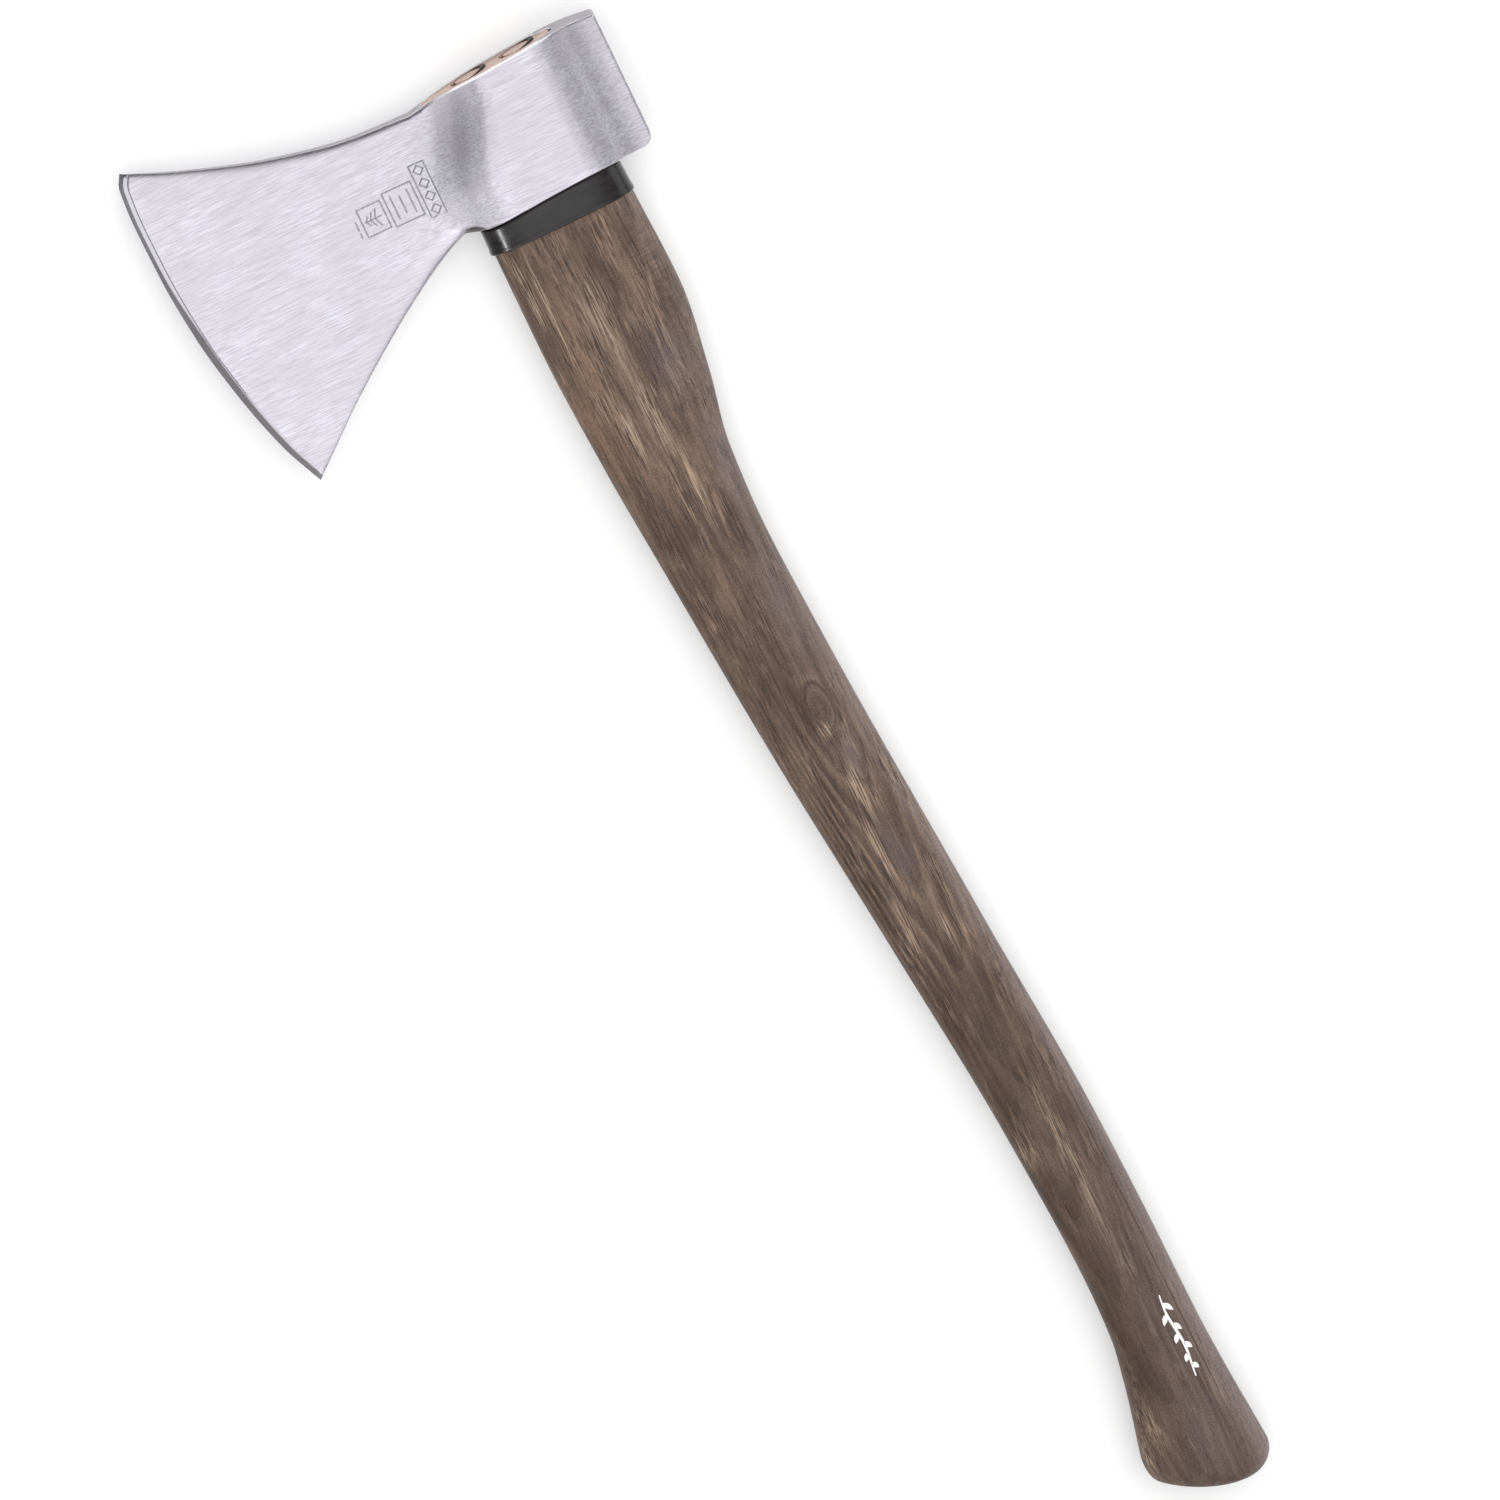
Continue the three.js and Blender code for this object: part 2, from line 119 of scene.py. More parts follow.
HEAD_TOP = [(POLL_X, -35.2), (-30, -35.8), (-12, -34.9), (0, -34), (20, -32.6), (35, -31.2), (50, -28.8)]
HEAD_BASE = [(POLL_X, 28.2), (-17, 28.2), (5, 29), (20, 30), (38, 31.4), (50, 28.9)]
BLADE_TOP = [(50, -28.8), (75, -30.2), (110, -36.8), (150, -49.8), (174.4, -60.3)]
BLADE_BASE = [(50, 28.9), (60, 33.4), (80, 44.8), (120, 72.5), (153.5, 100.2)]
TOE = BLADE_TOP[-1]
HEEL = BLADE_BASE[-1]
CUTTING_EDGE = [(-60.3, 174.4), (-54, 177.4), (-35, 178.5), (-10, 178.1), (20, 175.6), (50, 170.2),
                (80, 162), (100.2, 153.5)]
HANDLE_BACK = [(43.5, -24.2), (88, -25.7), (130, -20.5), (165, -14.2), (200, -12.7), (250, -14.5),
               (400, -24.3), (500, -31.5), (560, -33.3), (600, -33.8), (678, -38.8)]
HANDLE_FRONT = [(43.5, 42.4), (90, 42.5), (150, 40), (200, 36.2), (300, 28), (400, 17.6), (500, 8.1),
                (575, 4.6), (600, 5.3), (620, 7.9), (678, 18.2)]
HANDLE_HALF = [(43.5, 13.6), (90, 13.5), (165, 12), (300, 11.6), (560, 11.9), (610, 13.3), (678, 15.4)]

# Half thickness of the head, by station: along its middle, at its top rim and at its base rim.
MID_HALF = [(POLL_X, 8.8), (-39, 9.05), (-35, 9.55), (-30, 10.6), (-22, 13.3), (-18, 14.35), (-14, 15.1),
            (-9, HEAD_HALF), (15, HEAD_HALF), (22, 15), (30, 12.9), (40, 9.2), (50, 6.8), (65, 5.3),
            (90, 4.1), (120, 3.3), (150, 2.4), (BEVEL_START, BEVEL_HALF)]
TOP_RIM_HALF = [(POLL_X, 1.2), (-38, 3.4), (-30, 8.6), (-22, 12.1), (-12, 14.1), (10, 14.2), (20, 12.3),
                (25, 10.6), (30, 8.9), (36, 7), (40, 6.1), (50, 4.4), (75, 3.2), (150, 1.6),
                (EDGE_X, EDGE_HALF)]
BASE_RIM_HALF = [(POLL_X, 5.5), (-30, 9.4), (-22, 12.2), (-12, 14.6), (18, 14.4), (30, 12), (40, 8),
                 (50, 4.5), (75, 2.4), (150, 1.5), (EDGE_X, EDGE_HALF)]
# How far from each rim the head reaches its full thickness.
TOP_BAND = [(POLL_X, 1.1), (-30, 1), (-20, 0.7), (20, 0.7), (40, 1.2), (60, 2.5), (120, 4), (EDGE_X, 2)]
BASE_BAND = [(POLL_X, 1.2), (30, 1.2), (42, 3.2), (60, 9), (120, 12), (EDGE_X, 3)]
# Beside the eye the top rim is ground off flat rather than rounded.
CHAMFER_RUN = [(-24, 0), (-14, 1), (40, 1), (48, 0)]

# Painted shade on the base's lip in front of the sleeve, standing in for the shade there: how far up it
# reaches.
LIP_SHADE_HEIGHT = [(39.5, 0), (42, 2.4), (45, 3.4), (48, 2.6), (51, 0)]

# The swell of the eye reaches further towards the blade at its base than at its top.
LEAN_AT_TOP = -8
LEAN_AT_BASE = 7
LEAN_HEIGHT = (-34, 16)
LEAN_START = (4, 22)
LEAN_END = (60, 100)

# ---------------------------------------------------------------- curves and sections


def smooth(pairs):
    """A smooth curve through (position, value) pairs that never overshoots, so flats stay flat."""
    at, value = np.array(pairs, float).T
    slope = np.diff(value) / np.diff(at)
    product = slope[:-1] * slope[1:]
    total = np.where(product > 0, slope[:-1] + slope[1:], 1)
    tangent = np.concatenate([slope[:1], np.where(product > 0, 2 * product / total, 0), slope[-1:]])

    def curve(position):
        inside = np.clip(position, at[0], at[-1])
        i = np.clip(np.searchsorted(at, inside, side="right") - 1, 0, len(slope) - 1)
        width = at[i + 1] - at[i]
        t = (inside - at[i]) / width
        rise = t * t * (3 - 2 * t)
        bend = tangent[i] * t * (1 - t) ** 2 + tangent[i + 1] * t * t * (t - 1)
        return value[i] + (value[i + 1] - value[i]) * rise + bend * width

    return curve


head_top = smooth(HEAD_TOP)
head_base = smooth(HEAD_BASE)
blade_top = smooth(BLADE_TOP)
blade_base = smooth(BLADE_BASE)
cutting_edge = smooth(CUTTING_EDGE)
mid_half = smooth(MID_HALF)
top_rim_half = smooth(TOP_RIM_HALF)
base_rim_half = smooth(BASE_RIM_HALF)
top_band = smooth(TOP_BAND)
base_band = smooth(BASE_BAND)
chamfer_run = smooth(CHAMFER_RUN)
scale_height = smooth(LIP_SHADE_HEIGHT)
handle_back = smooth(HANDLE_BACK)
handle_front = smooth(HANDLE_FRONT)
handle_half = smooth(HANDLE_HALF)
BUTT_MIDDLE = (handle_back(BUTT_Y) + handle_front(BUTT_Y)) / 2


def lerp(a, b, t):
    return a + (b - a) * t


def step(value, low, high):
    """0 below low, 1 above high, and smooth between them."""
    t = np.clip((value - low) / (high - low), 0, 1)
    return t * t * (3 - 2 * t)


def corner_drop(distance, radius):
    """What a round corner of the given radius takes off at a distance from its flat."""
    left = np.clip(radius - distance, 0, radius)
    return radius - np.sqrt(radius * radius - left * left)


def blend_sections(a, b, t):
    return Section(*(lerp(p, q, t) for p, q in zip(a, b)))


def ring(section, height_at, grow=0.0, sides=128):
    """Points around a superellipse, fuller at its back by the egg factor. height_at gives y from x."""
    angle = 2 * np.pi * np.arange(sides) / sides
    cos, sin = np.cos(angle), np.sin(angle)
    middle = (section.back + section.front) / 2
    reach = (section.front - section.back) / 2 + grow
    x = middle + reach * np.sign(cos) * np.abs(cos) ** (2 / section.power)
    across = np.sign(sin) * np.abs(sin) ** (2 / section.power)
    z = (section.half + grow) * across * (1 - section.egg * cos)
    return np.stack([x, height_at(x) + 0 * x, z], 1)


def level(y):
    return lambda x: y


def under(curve, drop):
    return lambda x: curve(x) + drop


# ---------------------------------------------------------------- meshes


def tube_faces(loops, points, closed=False):
    """Quads between closed loops of points that follow each other."""
    first = np.arange(loops if closed else loops - 1)[:, None] * points
    second = (first + points) % (loops * points)
    i = np.arange(points)[None, :]
    j = (i + 1) % points
    return np.stack([first + i, first + j, second + j, second + i], -1).reshape(-1, 4).tolist()


def add_object(name, data):
    added = bpy.data.objects.new(name, data)
    bpy.context.scene.collection.objects.link(added)
    return added


def make_piece(name, points, faces):
    """A closed mesh from points in millimetres about the middle plane, with its faces turned out."""
    placed = (np.asarray(points) + (0, 0, MIDDLE_Z)) * MM
    mesh = bpy.data.meshes.new(name)
    mesh.from_pydata(placed.tolist(), [], faces)
    work = bmesh.new()
    work.from_mesh(mesh)
    bmesh.ops.recalc_face_normals(work, faces=work.faces)
    work.to_mesh(mesh)
    work.free()
    return add_object(name, mesh)


def loft(name, rings):
    """A solid through rings that follow each other, closed at both ends."""
    sides = len(rings[0])
    faces = tube_faces(len(rings), sides)
    faces.append(list(range(sides)))
    faces.append(list(range((len(rings) - 1) * sides, len(rings) * sides)))
    return make_piece(name, np.concatenate(rings), faces)


def subtract(piece, *cutters):
    """Cuts the cutters out of the piece and removes them."""
    for cutter in cutters:
        modifier = piece.modifiers.new("cut", "BOOLEAN")
        modifier.object = cutter
        modifier.operation = "DIFFERENCE"
        modifier.solver = "EXACT"
    graph = bpy.context.evaluated_depsgraph_get()
    cut = bpy.data.meshes.new_from_object(piece.evaluated_get(graph))
    piece.modifiers.clear()
    piece.data = cut
    for cutter in cutters:
        bpy.data.objects.remove(cutter)


def finish_mesh(piece, crease):
    """Smooth shading, with edges sharper than the crease angle, in degrees, kept crisp."""
    piece.data.shade_smooth()
    piece.data.set_sharp_from_angle(angle=np.radians(crease))


def vertex_data(piece, kind):
    found = np.empty(len(piece.data.vertices) * 3)
    piece.data.vertices.foreach_get(kind, found)
    return found.reshape(-1, 3)


def corners(piece):
    """The piece's vertices in millimetres about the middle plane."""
    return vertex_data(piece, "co") / MM - (0, 0, MIDDLE_Z)


def store(piece, **numbers):
    """Keeps named numbers for each vertex, for the finish to read."""
    for name, values in numbers.items():
        attribute = piece.data.attributes.new(name, "FLOAT", "POINT")
        attribute.data.foreach_set("value", np.asarray(values, np.float32))


# ---------------------------------------------------------------- the marks on the head

MARK_LINE = 0.55
MARK_DEPTH = 0.1
MARK_SOFTNESS = 0.3


def frame_lines(left, top, right, base):
    """The four sides of a rectangle, as pairs of points."""
    spots = [(left, top), (right, top), (right, base), (left, base)]
    return list(zip(spots, spots[1:] + spots[:1]))


def chain(*spots):
    return list(zip(spots, spots[1:]))


def diamond_lines(x, y, half):
    return chain((x - half, y), (x, y - half), (x + half, y), (x, y + half), (x - half, y))


def mark_lines():
    """Plain stamped decoration: a strip of diamonds, a tally of bars, a small fir and two short bars."""
    lines = frame_lines(53, -9, 60, 16)
    for y in (-5.8, 0.4, 6.6, 12.8):
        lines += diamond_lines(56.5, y, 2.3)
    lines += frame_lines(62, -3, 75.5, 13)
    for x, half in ((64.8, 5.5), (68.8, 4), (72.7, 5.5)):
        lines += chain((x, 5 - half), (x, 5 + half))
    lines += frame_lines(77.5, -1, 88.5, 12)
    lines += chain((79.5, 5.5), (87, 5.5))
    for x, half in ((80.8, 4), (83, 3.1), (85.2, 2)):
        lines += chain((x, 5.5 - half), (x + 1.6, 5.5), (x, 5.5 + half))
    lines += chain((91, 3.5), (91, 7.5))
    lines += chain((91, 9), (91, 11))
    return lines


def mark_mask(x, y):
    """1 inside the stamped lines and 0 away from them."""
    nearest = np.full(np.shape(x), np.inf)
    for (ax, ay), (bx, by) in mark_lines():
        length = np.hypot(bx - ax, by - ay)
        along = ((x - ax) * (bx - ax) + (y - ay) * (by - ay)) / length ** 2
        along = np.clip(along, 0, 1)
        nearest = np.minimum(nearest, np.hypot(x - lerp(ax, bx, along), y - lerp(ay, by, along)))
    return 1 - step(nearest, MARK_LINE / 2 - MARK_SOFTNESS / 2, MARK_LINE / 2 + MARK_SOFTNESS / 2)


# ---------------------------------------------------------------- the head

RIM_STEPS = 8
FACE_STEPS = 6
INNER_SHARES = np.concatenate([np.linspace(0, 0.25, 18), np.linspace(0.25, 0.84, 104)[1:],
                               np.linspace(0.84, 1, 12)[1:]])


def head_stations():
    turn = np.linspace(0, np.pi / 2, 14)
    return np.concatenate([
        POLL_X + POLL_EDGE_RADIUS * (1 - np.cos(turn[:6])),
        POLL_X + POLL_BASE_RADIUS * (1 - np.cos(turn[5:])),
        np.arange(-36, NECK_X, 1.0),
        np.arange(NECK_X, 94, 0.32),
        np.arange(94, 164, 1.4),
        np.arange(165, BEVEL_START, 0.8),
        BEVEL_START + np.linspace(0, BEVEL_LINE_WIDTH, 7),
        np.linspace(BEVEL_START + BEVEL_LINE_WIDTH + 0.15, EDGE_X, 16),
    ])


def head_points(station, v):
    """x and y on the head's side, at a station along it and a share v of its height."""
    if station <= NECK_X:
        top = head_top(station) + corner_drop(station - POLL_X, POLL_TOP_RADIUS)
        base = head_base(station) - corner_drop(station - POLL_X, POLL_BASE_RADIUS)
        return np.full_like(v, station), lerp(top, base, v)
    t = (station - NECK_X) / BLADE_REACH
    edge_x = cutting_edge(lerp(TOE[1], HEEL[1], v))
    top = blade_top(lerp(NECK_X, TOE[0], t))
    base = blade_base(lerp(NECK_X, HEEL[0], t))
    return lerp(NECK_X, edge_x, t), lerp(top, base, v)


def round_over(distance, band):
    """Rises like a quarter circle from 0 at the rim to 1 at the end of the band."""
    left = 1 - np.clip(distance / band, 0, 1)
    return np.sqrt(1 - left * left)


def honed_width(y):
    return lerp(HONED_AT_TOE, HONED_AT_HEEL, step(y, *HONED_RANGE))


def edge_half(station, y):
    """The ground bevel: a fine line, a first flat, then the honed flat."""
    honed = honed_width(y)
    flat = lerp(BEVEL_HALF, HONED_HALF, (station - BEVEL_START) / (BEVEL_WIDTH - honed))
    depth = lerp(BEVEL_LINE_DEPTH, BEVEL_LINE_AT_HEEL, step(y, *BEVEL_LINE_RANGE))
    off_line = np.abs(station - BEVEL_START - BEVEL_LINE_WIDTH / 2) / (BEVEL_LINE_WIDTH / 2)
    lined = flat - depth * np.clip(1 - off_line, 0, 1)
    sharpened = lerp(EDGE_HALF, HONED_HALF, (EDGE_X - station) / honed)
    return np.where(station > EDGE_X - honed, sharpened, lined)


def neck_lean(station, y):
    """How far the swell of the eye reaches towards the blade: further at the base than at the top."""
    inside = step(station, *LEAN_START) * (1 - step(station, *LEAN_END))
    return inside * lerp(LEAN_AT_TOP, LEAN_AT_BASE, step(y, *LEAN_HEIGHT))


def head_half(station, y, from_top, from_base):
    if station > BEVEL_START:
        full = edge_half(station, y)
    else:
        full = mid_half(station - neck_lean(station, y))
    full = full - corner_drop(station - POLL_X, POLL_EDGE_RADIUS)
    top_rim = np.minimum(top_rim_half(station), full)
    base_rim = np.minimum(base_rim_half(station), full)
    rounded = 1 - round_over(from_top, top_band(station))
    ground_flat = 1 - np.clip(from_top / top_band(station), 0, 1)
    top_loss = (full - top_rim) * lerp(rounded, ground_flat, chamfer_run(station))
    base_loss = (full - base_rim) * (1 - round_over(from_base, base_band(station)))
    return full - top_loss - base_loss


def head_loop(station):
    """The closed section of the head at a station: near side, base, far side and top."""
    height = head_points(station, np.ones(1))[1][0] - head_points(station, np.zeros(1))[1][0]
    arc = 1 - np.cos(np.linspace(0, np.pi / 2, RIM_STEPS + 1))
    top, base = top_band(station), base_band(station)
    inner = top + (height - base - top) * INNER_SHARES[1:-1]
    depth = np.concatenate([top * arc, inner, height - base * arc[::-1]])
    x, y = head_points(station, depth / height)
    half = head_half(station, y, depth, height - depth)
    near = np.stack([x, y, half - MARK_DEPTH * mark_mask(x, y)], 1)
    far = np.stack([x, y, -half], 1)[::-1]
    across = np.linspace(1, -1, FACE_STEPS + 1)[1:-1, None] * (0, 0, 1) + (1, 1, 0)
    return np.concatenate([near, near[-1] * across, far, far[-1] * across])


def end_faces(start, rows, points):
    """Faces across one end of the head, from its near side to its far side."""
    last = points - FACE_STEPS
    faces = [[start + r, start + r + 1, start + last - r - 1, start + last - r]
             for r in range(1, rows - 2)]
    faces.append(list(range(start + rows - 2, start + last - rows + 3)))
    faces.append([start + 1, start] + list(range(start + points - 1, start + last - 2, -1)))
    return faces


def eye_section(y):
    return blend_sections(EYE_TOP, EYE_BASE, (y - EYE_TOP_Y) / (EYE_BASE_Y - EYE_TOP_Y))


def eye_cutter():
    """The hole for the handle's tongue, flared a little where it opens."""
    over, lip, flare = 6, 0.02, EYE_CHAMFER
    return loft("eye_cutter", [
        ring(EYE_TOP, under(head_top, -over), flare), ring(EYE_TOP, under(head_top, lip), flare),
        ring(EYE_TOP, under(head_top, flare)), ring(eye_section(0), level(0)),
        ring(EYE_BASE, under(head_base, -flare)), ring(EYE_BASE, under(head_base, -lip), flare),
        ring(EYE_BASE, under(head_base, over), flare),
    ])


# Where the looks of the steel change. Facing is how far a surface turns: 0 is edge on and 1 is square on.
GROUND_FACING = (0.2, 0.45)
RIM_HIGHLIGHT_FACING_TOP = (0.55, 0.75)
RIM_HIGHLIGHT_FACING_UP = (0.12, 0.3)
BEVEL_BORDER = (-0.25, 0.38)
HONED_BORDER = (-0.5, 0.25)
HONED_PAINTED_SHADE = (-30, 20)
LIP_SHADE_BORDER = (-0.2, 0.5)


def make_head():
    stations = head_stations()
    loops = [head_loop(station) for station in stations]
    points = len(loops[0])
    rows = (points - 2 * (FACE_STEPS - 1)) // 2
    faces = tube_faces(len(loops), points)
    faces += end_faces(0, rows, points) + end_faces((len(loops) - 1) * points, rows, points)
    head = make_piece("forged_head", np.concatenate(loops), faces)
    subtract(head, eye_cutter())
    finish_mesh(head, 32)
    x, y, z = corners(head).T
    facing = vertex_data(head, "normal")
    # Painted highlight on the top chamfer beside the eye, near side only: where it faces the head's top
    # and a little up.
    rim = step(-facing[:, 1], *RIM_HIGHLIGHT_FACING_TOP) * step(facing[:, 2], *RIM_HIGHLIGHT_FACING_UP)
    inward = BLADE_REACH * (1 - (x - NECK_X) / (cutting_edge(y) - NECK_X))
    # Where the honed flat lies; it is painted dark, more towards the heel, as painted shade.
    honed = 1 - step(inward - honed_width(y), *HONED_BORDER)
    lip = np.where(x < NECK_X, head_base(x), blade_base(x))
    # Painted shade on the lip in front of the sleeve, up to its height at each station.
    scale = step(scale_height(x) - (lip - y), *LIP_SHADE_BORDER)
    store(head,
          mark=mark_mask(x, y) * (z > 0),
          ground=step(np.abs(facing[:, 2]), *GROUND_FACING),
          rim=rim * chamfer_run(x),
          bevel=1 - step(inward - BEVEL_WIDTH, *BEVEL_BORDER),
          honed=honed * step(y, *HONED_PAINTED_SHADE),
          scale=scale * step(scale_height(x), 0, LIP_SHADE_BORDER[1]))
    return head


# ---------------------------------------------------------------- the handle

def handle_section(y):
    return Section(handle_back(y), handle_front(y), handle_half(y), 2.3, 0.05)


def leaning_ring(section, y, rise=0.0):
    """The ring at y, leaning and bowed like the butt's end face as it comes near it."""
    lean = step(y, SLANT_START_Y, BUTT_Y)

    def height_at(x):
        offset = x - BUTT_MIDDLE
        return y + rise + lean * (BUTT_SLANT * offset - BUTT_BOW * offset * offset)

    return ring(section, height_at)


def shrunk(section, factor):
    middle = (section.back + section.front) / 2
    back, front = lerp(middle, section.back, factor), lerp(middle, section.front, factor)
    return section._replace(back=back, front=front, half=section.half * factor)


def tongue_rings():
    """The end grain in the eye, then the tongue down to the shoulder."""
    end = EYE_TOP._replace(back=EYE_TOP.back + TONGUE_SHORTFALL)
    rings = [ring(shrunk(end, factor), head_top, -TONGUE_GAP * factor)
             for factor in np.linspace(0.02, 0.98, 25)]
    rings.append(ring(end, under(head_top, 0.15), -TONGUE_GAP))
    for y in np.linspace(EYE_TOP_Y + 6, EYE_BASE_Y, 6):
        rings.append(ring(eye_section(y), level(y), -TONGUE_GAP))
    rings.append(ring(EYE_BASE, level(SHOULDER_TOP_Y), -TONGUE_GAP))
    return rings


def shaft_rings():
    shoulder_y = SLEEVE_BASE_Y + SLEEVE_GAP
    rings = [ring(SHOULDER_TOP, level(SHOULDER_TOP_Y)), ring(SHOULDER_BASE, level(shoulder_y - 0.5))]
    for y in np.linspace(shoulder_y + 0.5, BUTT_Y - BUTT_ROUND_LENGTH - 1, 310):
        rings.append(leaning_ring(handle_section(y), y))
    return rings


def butt_rings():
    """The rounded rim of the end face, wider at the poll side, then its low crown."""
    def inset(section, amount):
        return section._replace(back=section.back + BUTT_ROUND_BACK * amount,
                                front=section.front - BUTT_ROUND_FRONT * amount,
                                half=section.half - BUTT_ROUND_HALF * amount)

    rings = []
    for angle in np.linspace(0, np.pi / 2, 14):
        y = BUTT_Y - BUTT_ROUND_LENGTH * (1 - np.sin(angle))
        rings.append(leaning_ring(inset(handle_section(y), 1 - np.cos(angle)), y))
    face = inset(handle_section(BUTT_Y), 1)
    for factor in np.linspace(0.95, 0.02, 20):
        rings.append(leaning_ring(shrunk(face, factor), BUTT_Y, BUTT_CROWN * (1 - factor * factor)))
    return rings


def wedge_profile(clearance, overrun):
    """Radius and depth around the wall of a ring wedge, blunt end first. The groove cutter overruns it."""
    outer, inner = WEDGE_OUTER + clearance, WEDGE_OUTER - WEDGE_WALL - clearance
    thinning = (WEDGE_WALL - WEDGE_TIP_WALL) / 2
    depth = WEDGE_DEPTH + clearance
    if overrun:
        return [(inner, -overrun), (outer, -overrun), (outer - thinning, depth), (inner + thinning, depth)]
    return [(inner, WEDGE_NICK), (inner + WEDGE_NICK, 0), (outer - WEDGE_NICK, 0), (outer, WEDGE_NICK),
            (outer - thinning, depth), (inner + thinning, depth)]


def wedge_ring(name, x, clearance, overrun):
    """A ring turned about an axis that follows the slope of the head's top, but for the wedge's tilt."""
    slope = (head_top(x + 1) - head_top(x - 1)) / 2
    tilt = np.arctan(slope) + np.radians(WEDGE_TILT)
    turns = 2 * np.pi * np.arange(96) / 96
    spots = np.array([[(radius * np.cos(turn), depth, radius * np.sin(turn))
                       for radius, depth in wedge_profile(clearance, overrun)] for turn in turns])
    turned = np.stack([spots[..., 0] * np.cos(tilt) - spots[..., 1] * np.sin(tilt),
                       spots[..., 0] * np.sin(tilt) + spots[..., 1] * np.cos(tilt), spots[..., 2]], -1)
    placed = turned + (x, head_top(x) + WEDGE_RECESS, 0)
    return make_piece(name, placed.reshape(-1, 3), tube_faces(len(turns), spots.shape[1], closed=True))


def make_wedge(name):
    wedge = wedge_ring(name + "_forged", WEDGE_X[name], 0.0, 0.0)
    finish_mesh(wedge, 30)
    return wedge


Patch = namedtuple("Patch", "x y half_width half_length amount")
# Soft oval patches of the stain and the grain on the handle's upper side.
COOL_PATCHES = [
    Patch(-6, 116, 9, 14, 0.9), Patch(-9, 168, 5, 20, 0.8), Patch(38, 90, 4, 24, 0.3),
    Patch(-4, 237, 6, 38, 0.8), Patch(-3, 311, 6, 9, 0.9), Patch(-4, 362, 6, 18, 1.0),
    Patch(-20, 590, 14, 75, 0.8), Patch(-16, 655, 18, 22, 0.7),
]
WARM_PATCHES = [
    Patch(27, 100, 5, 30, 1.0), Patch(37, 130, 5, 48, 0.9), Patch(24, 152, 5, 26, 0.7),
    Patch(14, 218, 5, 25, 0.4), Patch(8, 390, 4, 14, 0.6), Patch(3, 507, 6, 9, 0.7),
    Patch(-13, 522, 5, 38, 0.6), Patch(6, 640, 6, 11, 0.7), Patch(14, 653, 4, 8, 0.7),
]
DARK_PATCHES = [
    Patch(10, 66, 11, 9, 0.4), Patch(17, 265, 6, 13, 0.6), Patch(13, 325, 7, 24, 0.8),
    Patch(4, 420, 8, 24, 0.3), Patch(4, 480, 8, 14, 0.5), Patch(10, 524, 6, 17, 0.6),
    Patch(-3, 580, 5, 30, 0.9), Patch(3, 622, 8, 12, 0.5),
]
# Pale streaks of the grain. The first three, along the front corner below the sleeve, also stand in for
# that corner's highlight: partly a painted highlight.
PALE_STREAKS_AND_HIGHLIGHT = [
    Patch(36.5, 66, 1.6, 14, 1.2), Patch(31.5, 74, 1.1, 24, 1.3), Patch(30, 118, 1.2, 16, 0.5),
    Patch(13, 88, 7, 20, 0.6), Patch(11, 135, 3, 16, 1.0), Patch(22, 140, 2.5, 14, 0.8),
    Patch(7, 173, 2, 17, 1.0), Patch(2.5, 296, 2.6, 2.6, 1.4), Patch(0, 326, 2, 12, 0.9),
    Patch(4, 352, 1.6, 13, 1.1), Patch(8, 391, 2, 13, 1.0), Patch(-8, 398, 2, 12, 0.7),
    Patch(3, 506, 4, 7, 0.6), Patch(-13, 520, 2.6, 36, 0.6), Patch(6, 640, 4, 10, 0.6),
    Patch(14, 653, 3, 8, 0.6),
]
# Small knots, which the grain flows around.
KNOTS = [Patch(13, 100, 4, 6, 0.5), Patch(-16, 96, 3, 5, 0.4), Patch(0, 285, 5.5, 12.5, 0.9)]
# A thin dark line that comes and goes along the grain: where it runs, and where it shows.
VEIN = smooth([(44, -13.5), (100, -15), (240, 12.5), (320, 13.5), (480, -25.5), (640, -27.5)])
VEIN_SHOWN = [(44, 98), (246, 322), (484, 632)]
VEIN_FADE = (8, 12)
# Where the shaping tool chattered across the grain.
CHATTER = [Patch(-19, 74, 6, 24, 1.0), Patch(24, 62, 8, 10, 0.5)]
# The middle of the arched figure, from the head to the butt.
FIGURE_MIDDLE = smooth([(44, 12), (120, 2), (285, 0), (360, -4), (480, -8), (600, -4), (680, -8)])
# Its arches follow each other at ARCH_LENGTH, and fall back as far at ARCH_WIDTH from the middle. A knot
# lifts it by KNOT_LIFT arches, and nothing shows KNOT_REACH outlines away from a knot.
ARCH_WIDTH = 10
ARCH_LENGTH = 42
KNOT_LIFT = 2.4
KNOT_REACH = 4
# Where along the handle the arches come and go, the open grain closes, the stain deepens, and the painted
# sheen of the poll side grows.
ARCHES_START = (285, 305)
ARCHES_END = (400, 430)
ARCHES_ELSEWHERE = 0.3
GRAIN_CLOSES = (380, 560)
GRAIN_AT_BUTT = 0.6
STAIN_DEEPENS = (150, 480)
STAIN_DEPTH = 0.75
PAINTED_SHEEN_GROWS = (120, 440)
PAINTED_SHEEN = (0.5, 1.1)
# Which way a surface faces, or where it lies across the handle, to count as one of these.
UPPER_SIDE = (-6, 0)
LOWER_END = (-1, 8)
END_FACING = (0.6, 0.85)
POLL_FACING = (0.1, 0.8)


def off_centre(x, y, patch):
    """0 at the patch's middle and 1 on its outline."""
    return ((x - patch.x) / patch.half_width) ** 2 + ((y - patch.y) / patch.half_length) ** 2


def oval(x, y, patch):
    return np.exp(-off_centre(x, y, patch))


def patched(x, y, patches):
    return sum(patch.amount * oval(x, y, patch) for patch in patches)


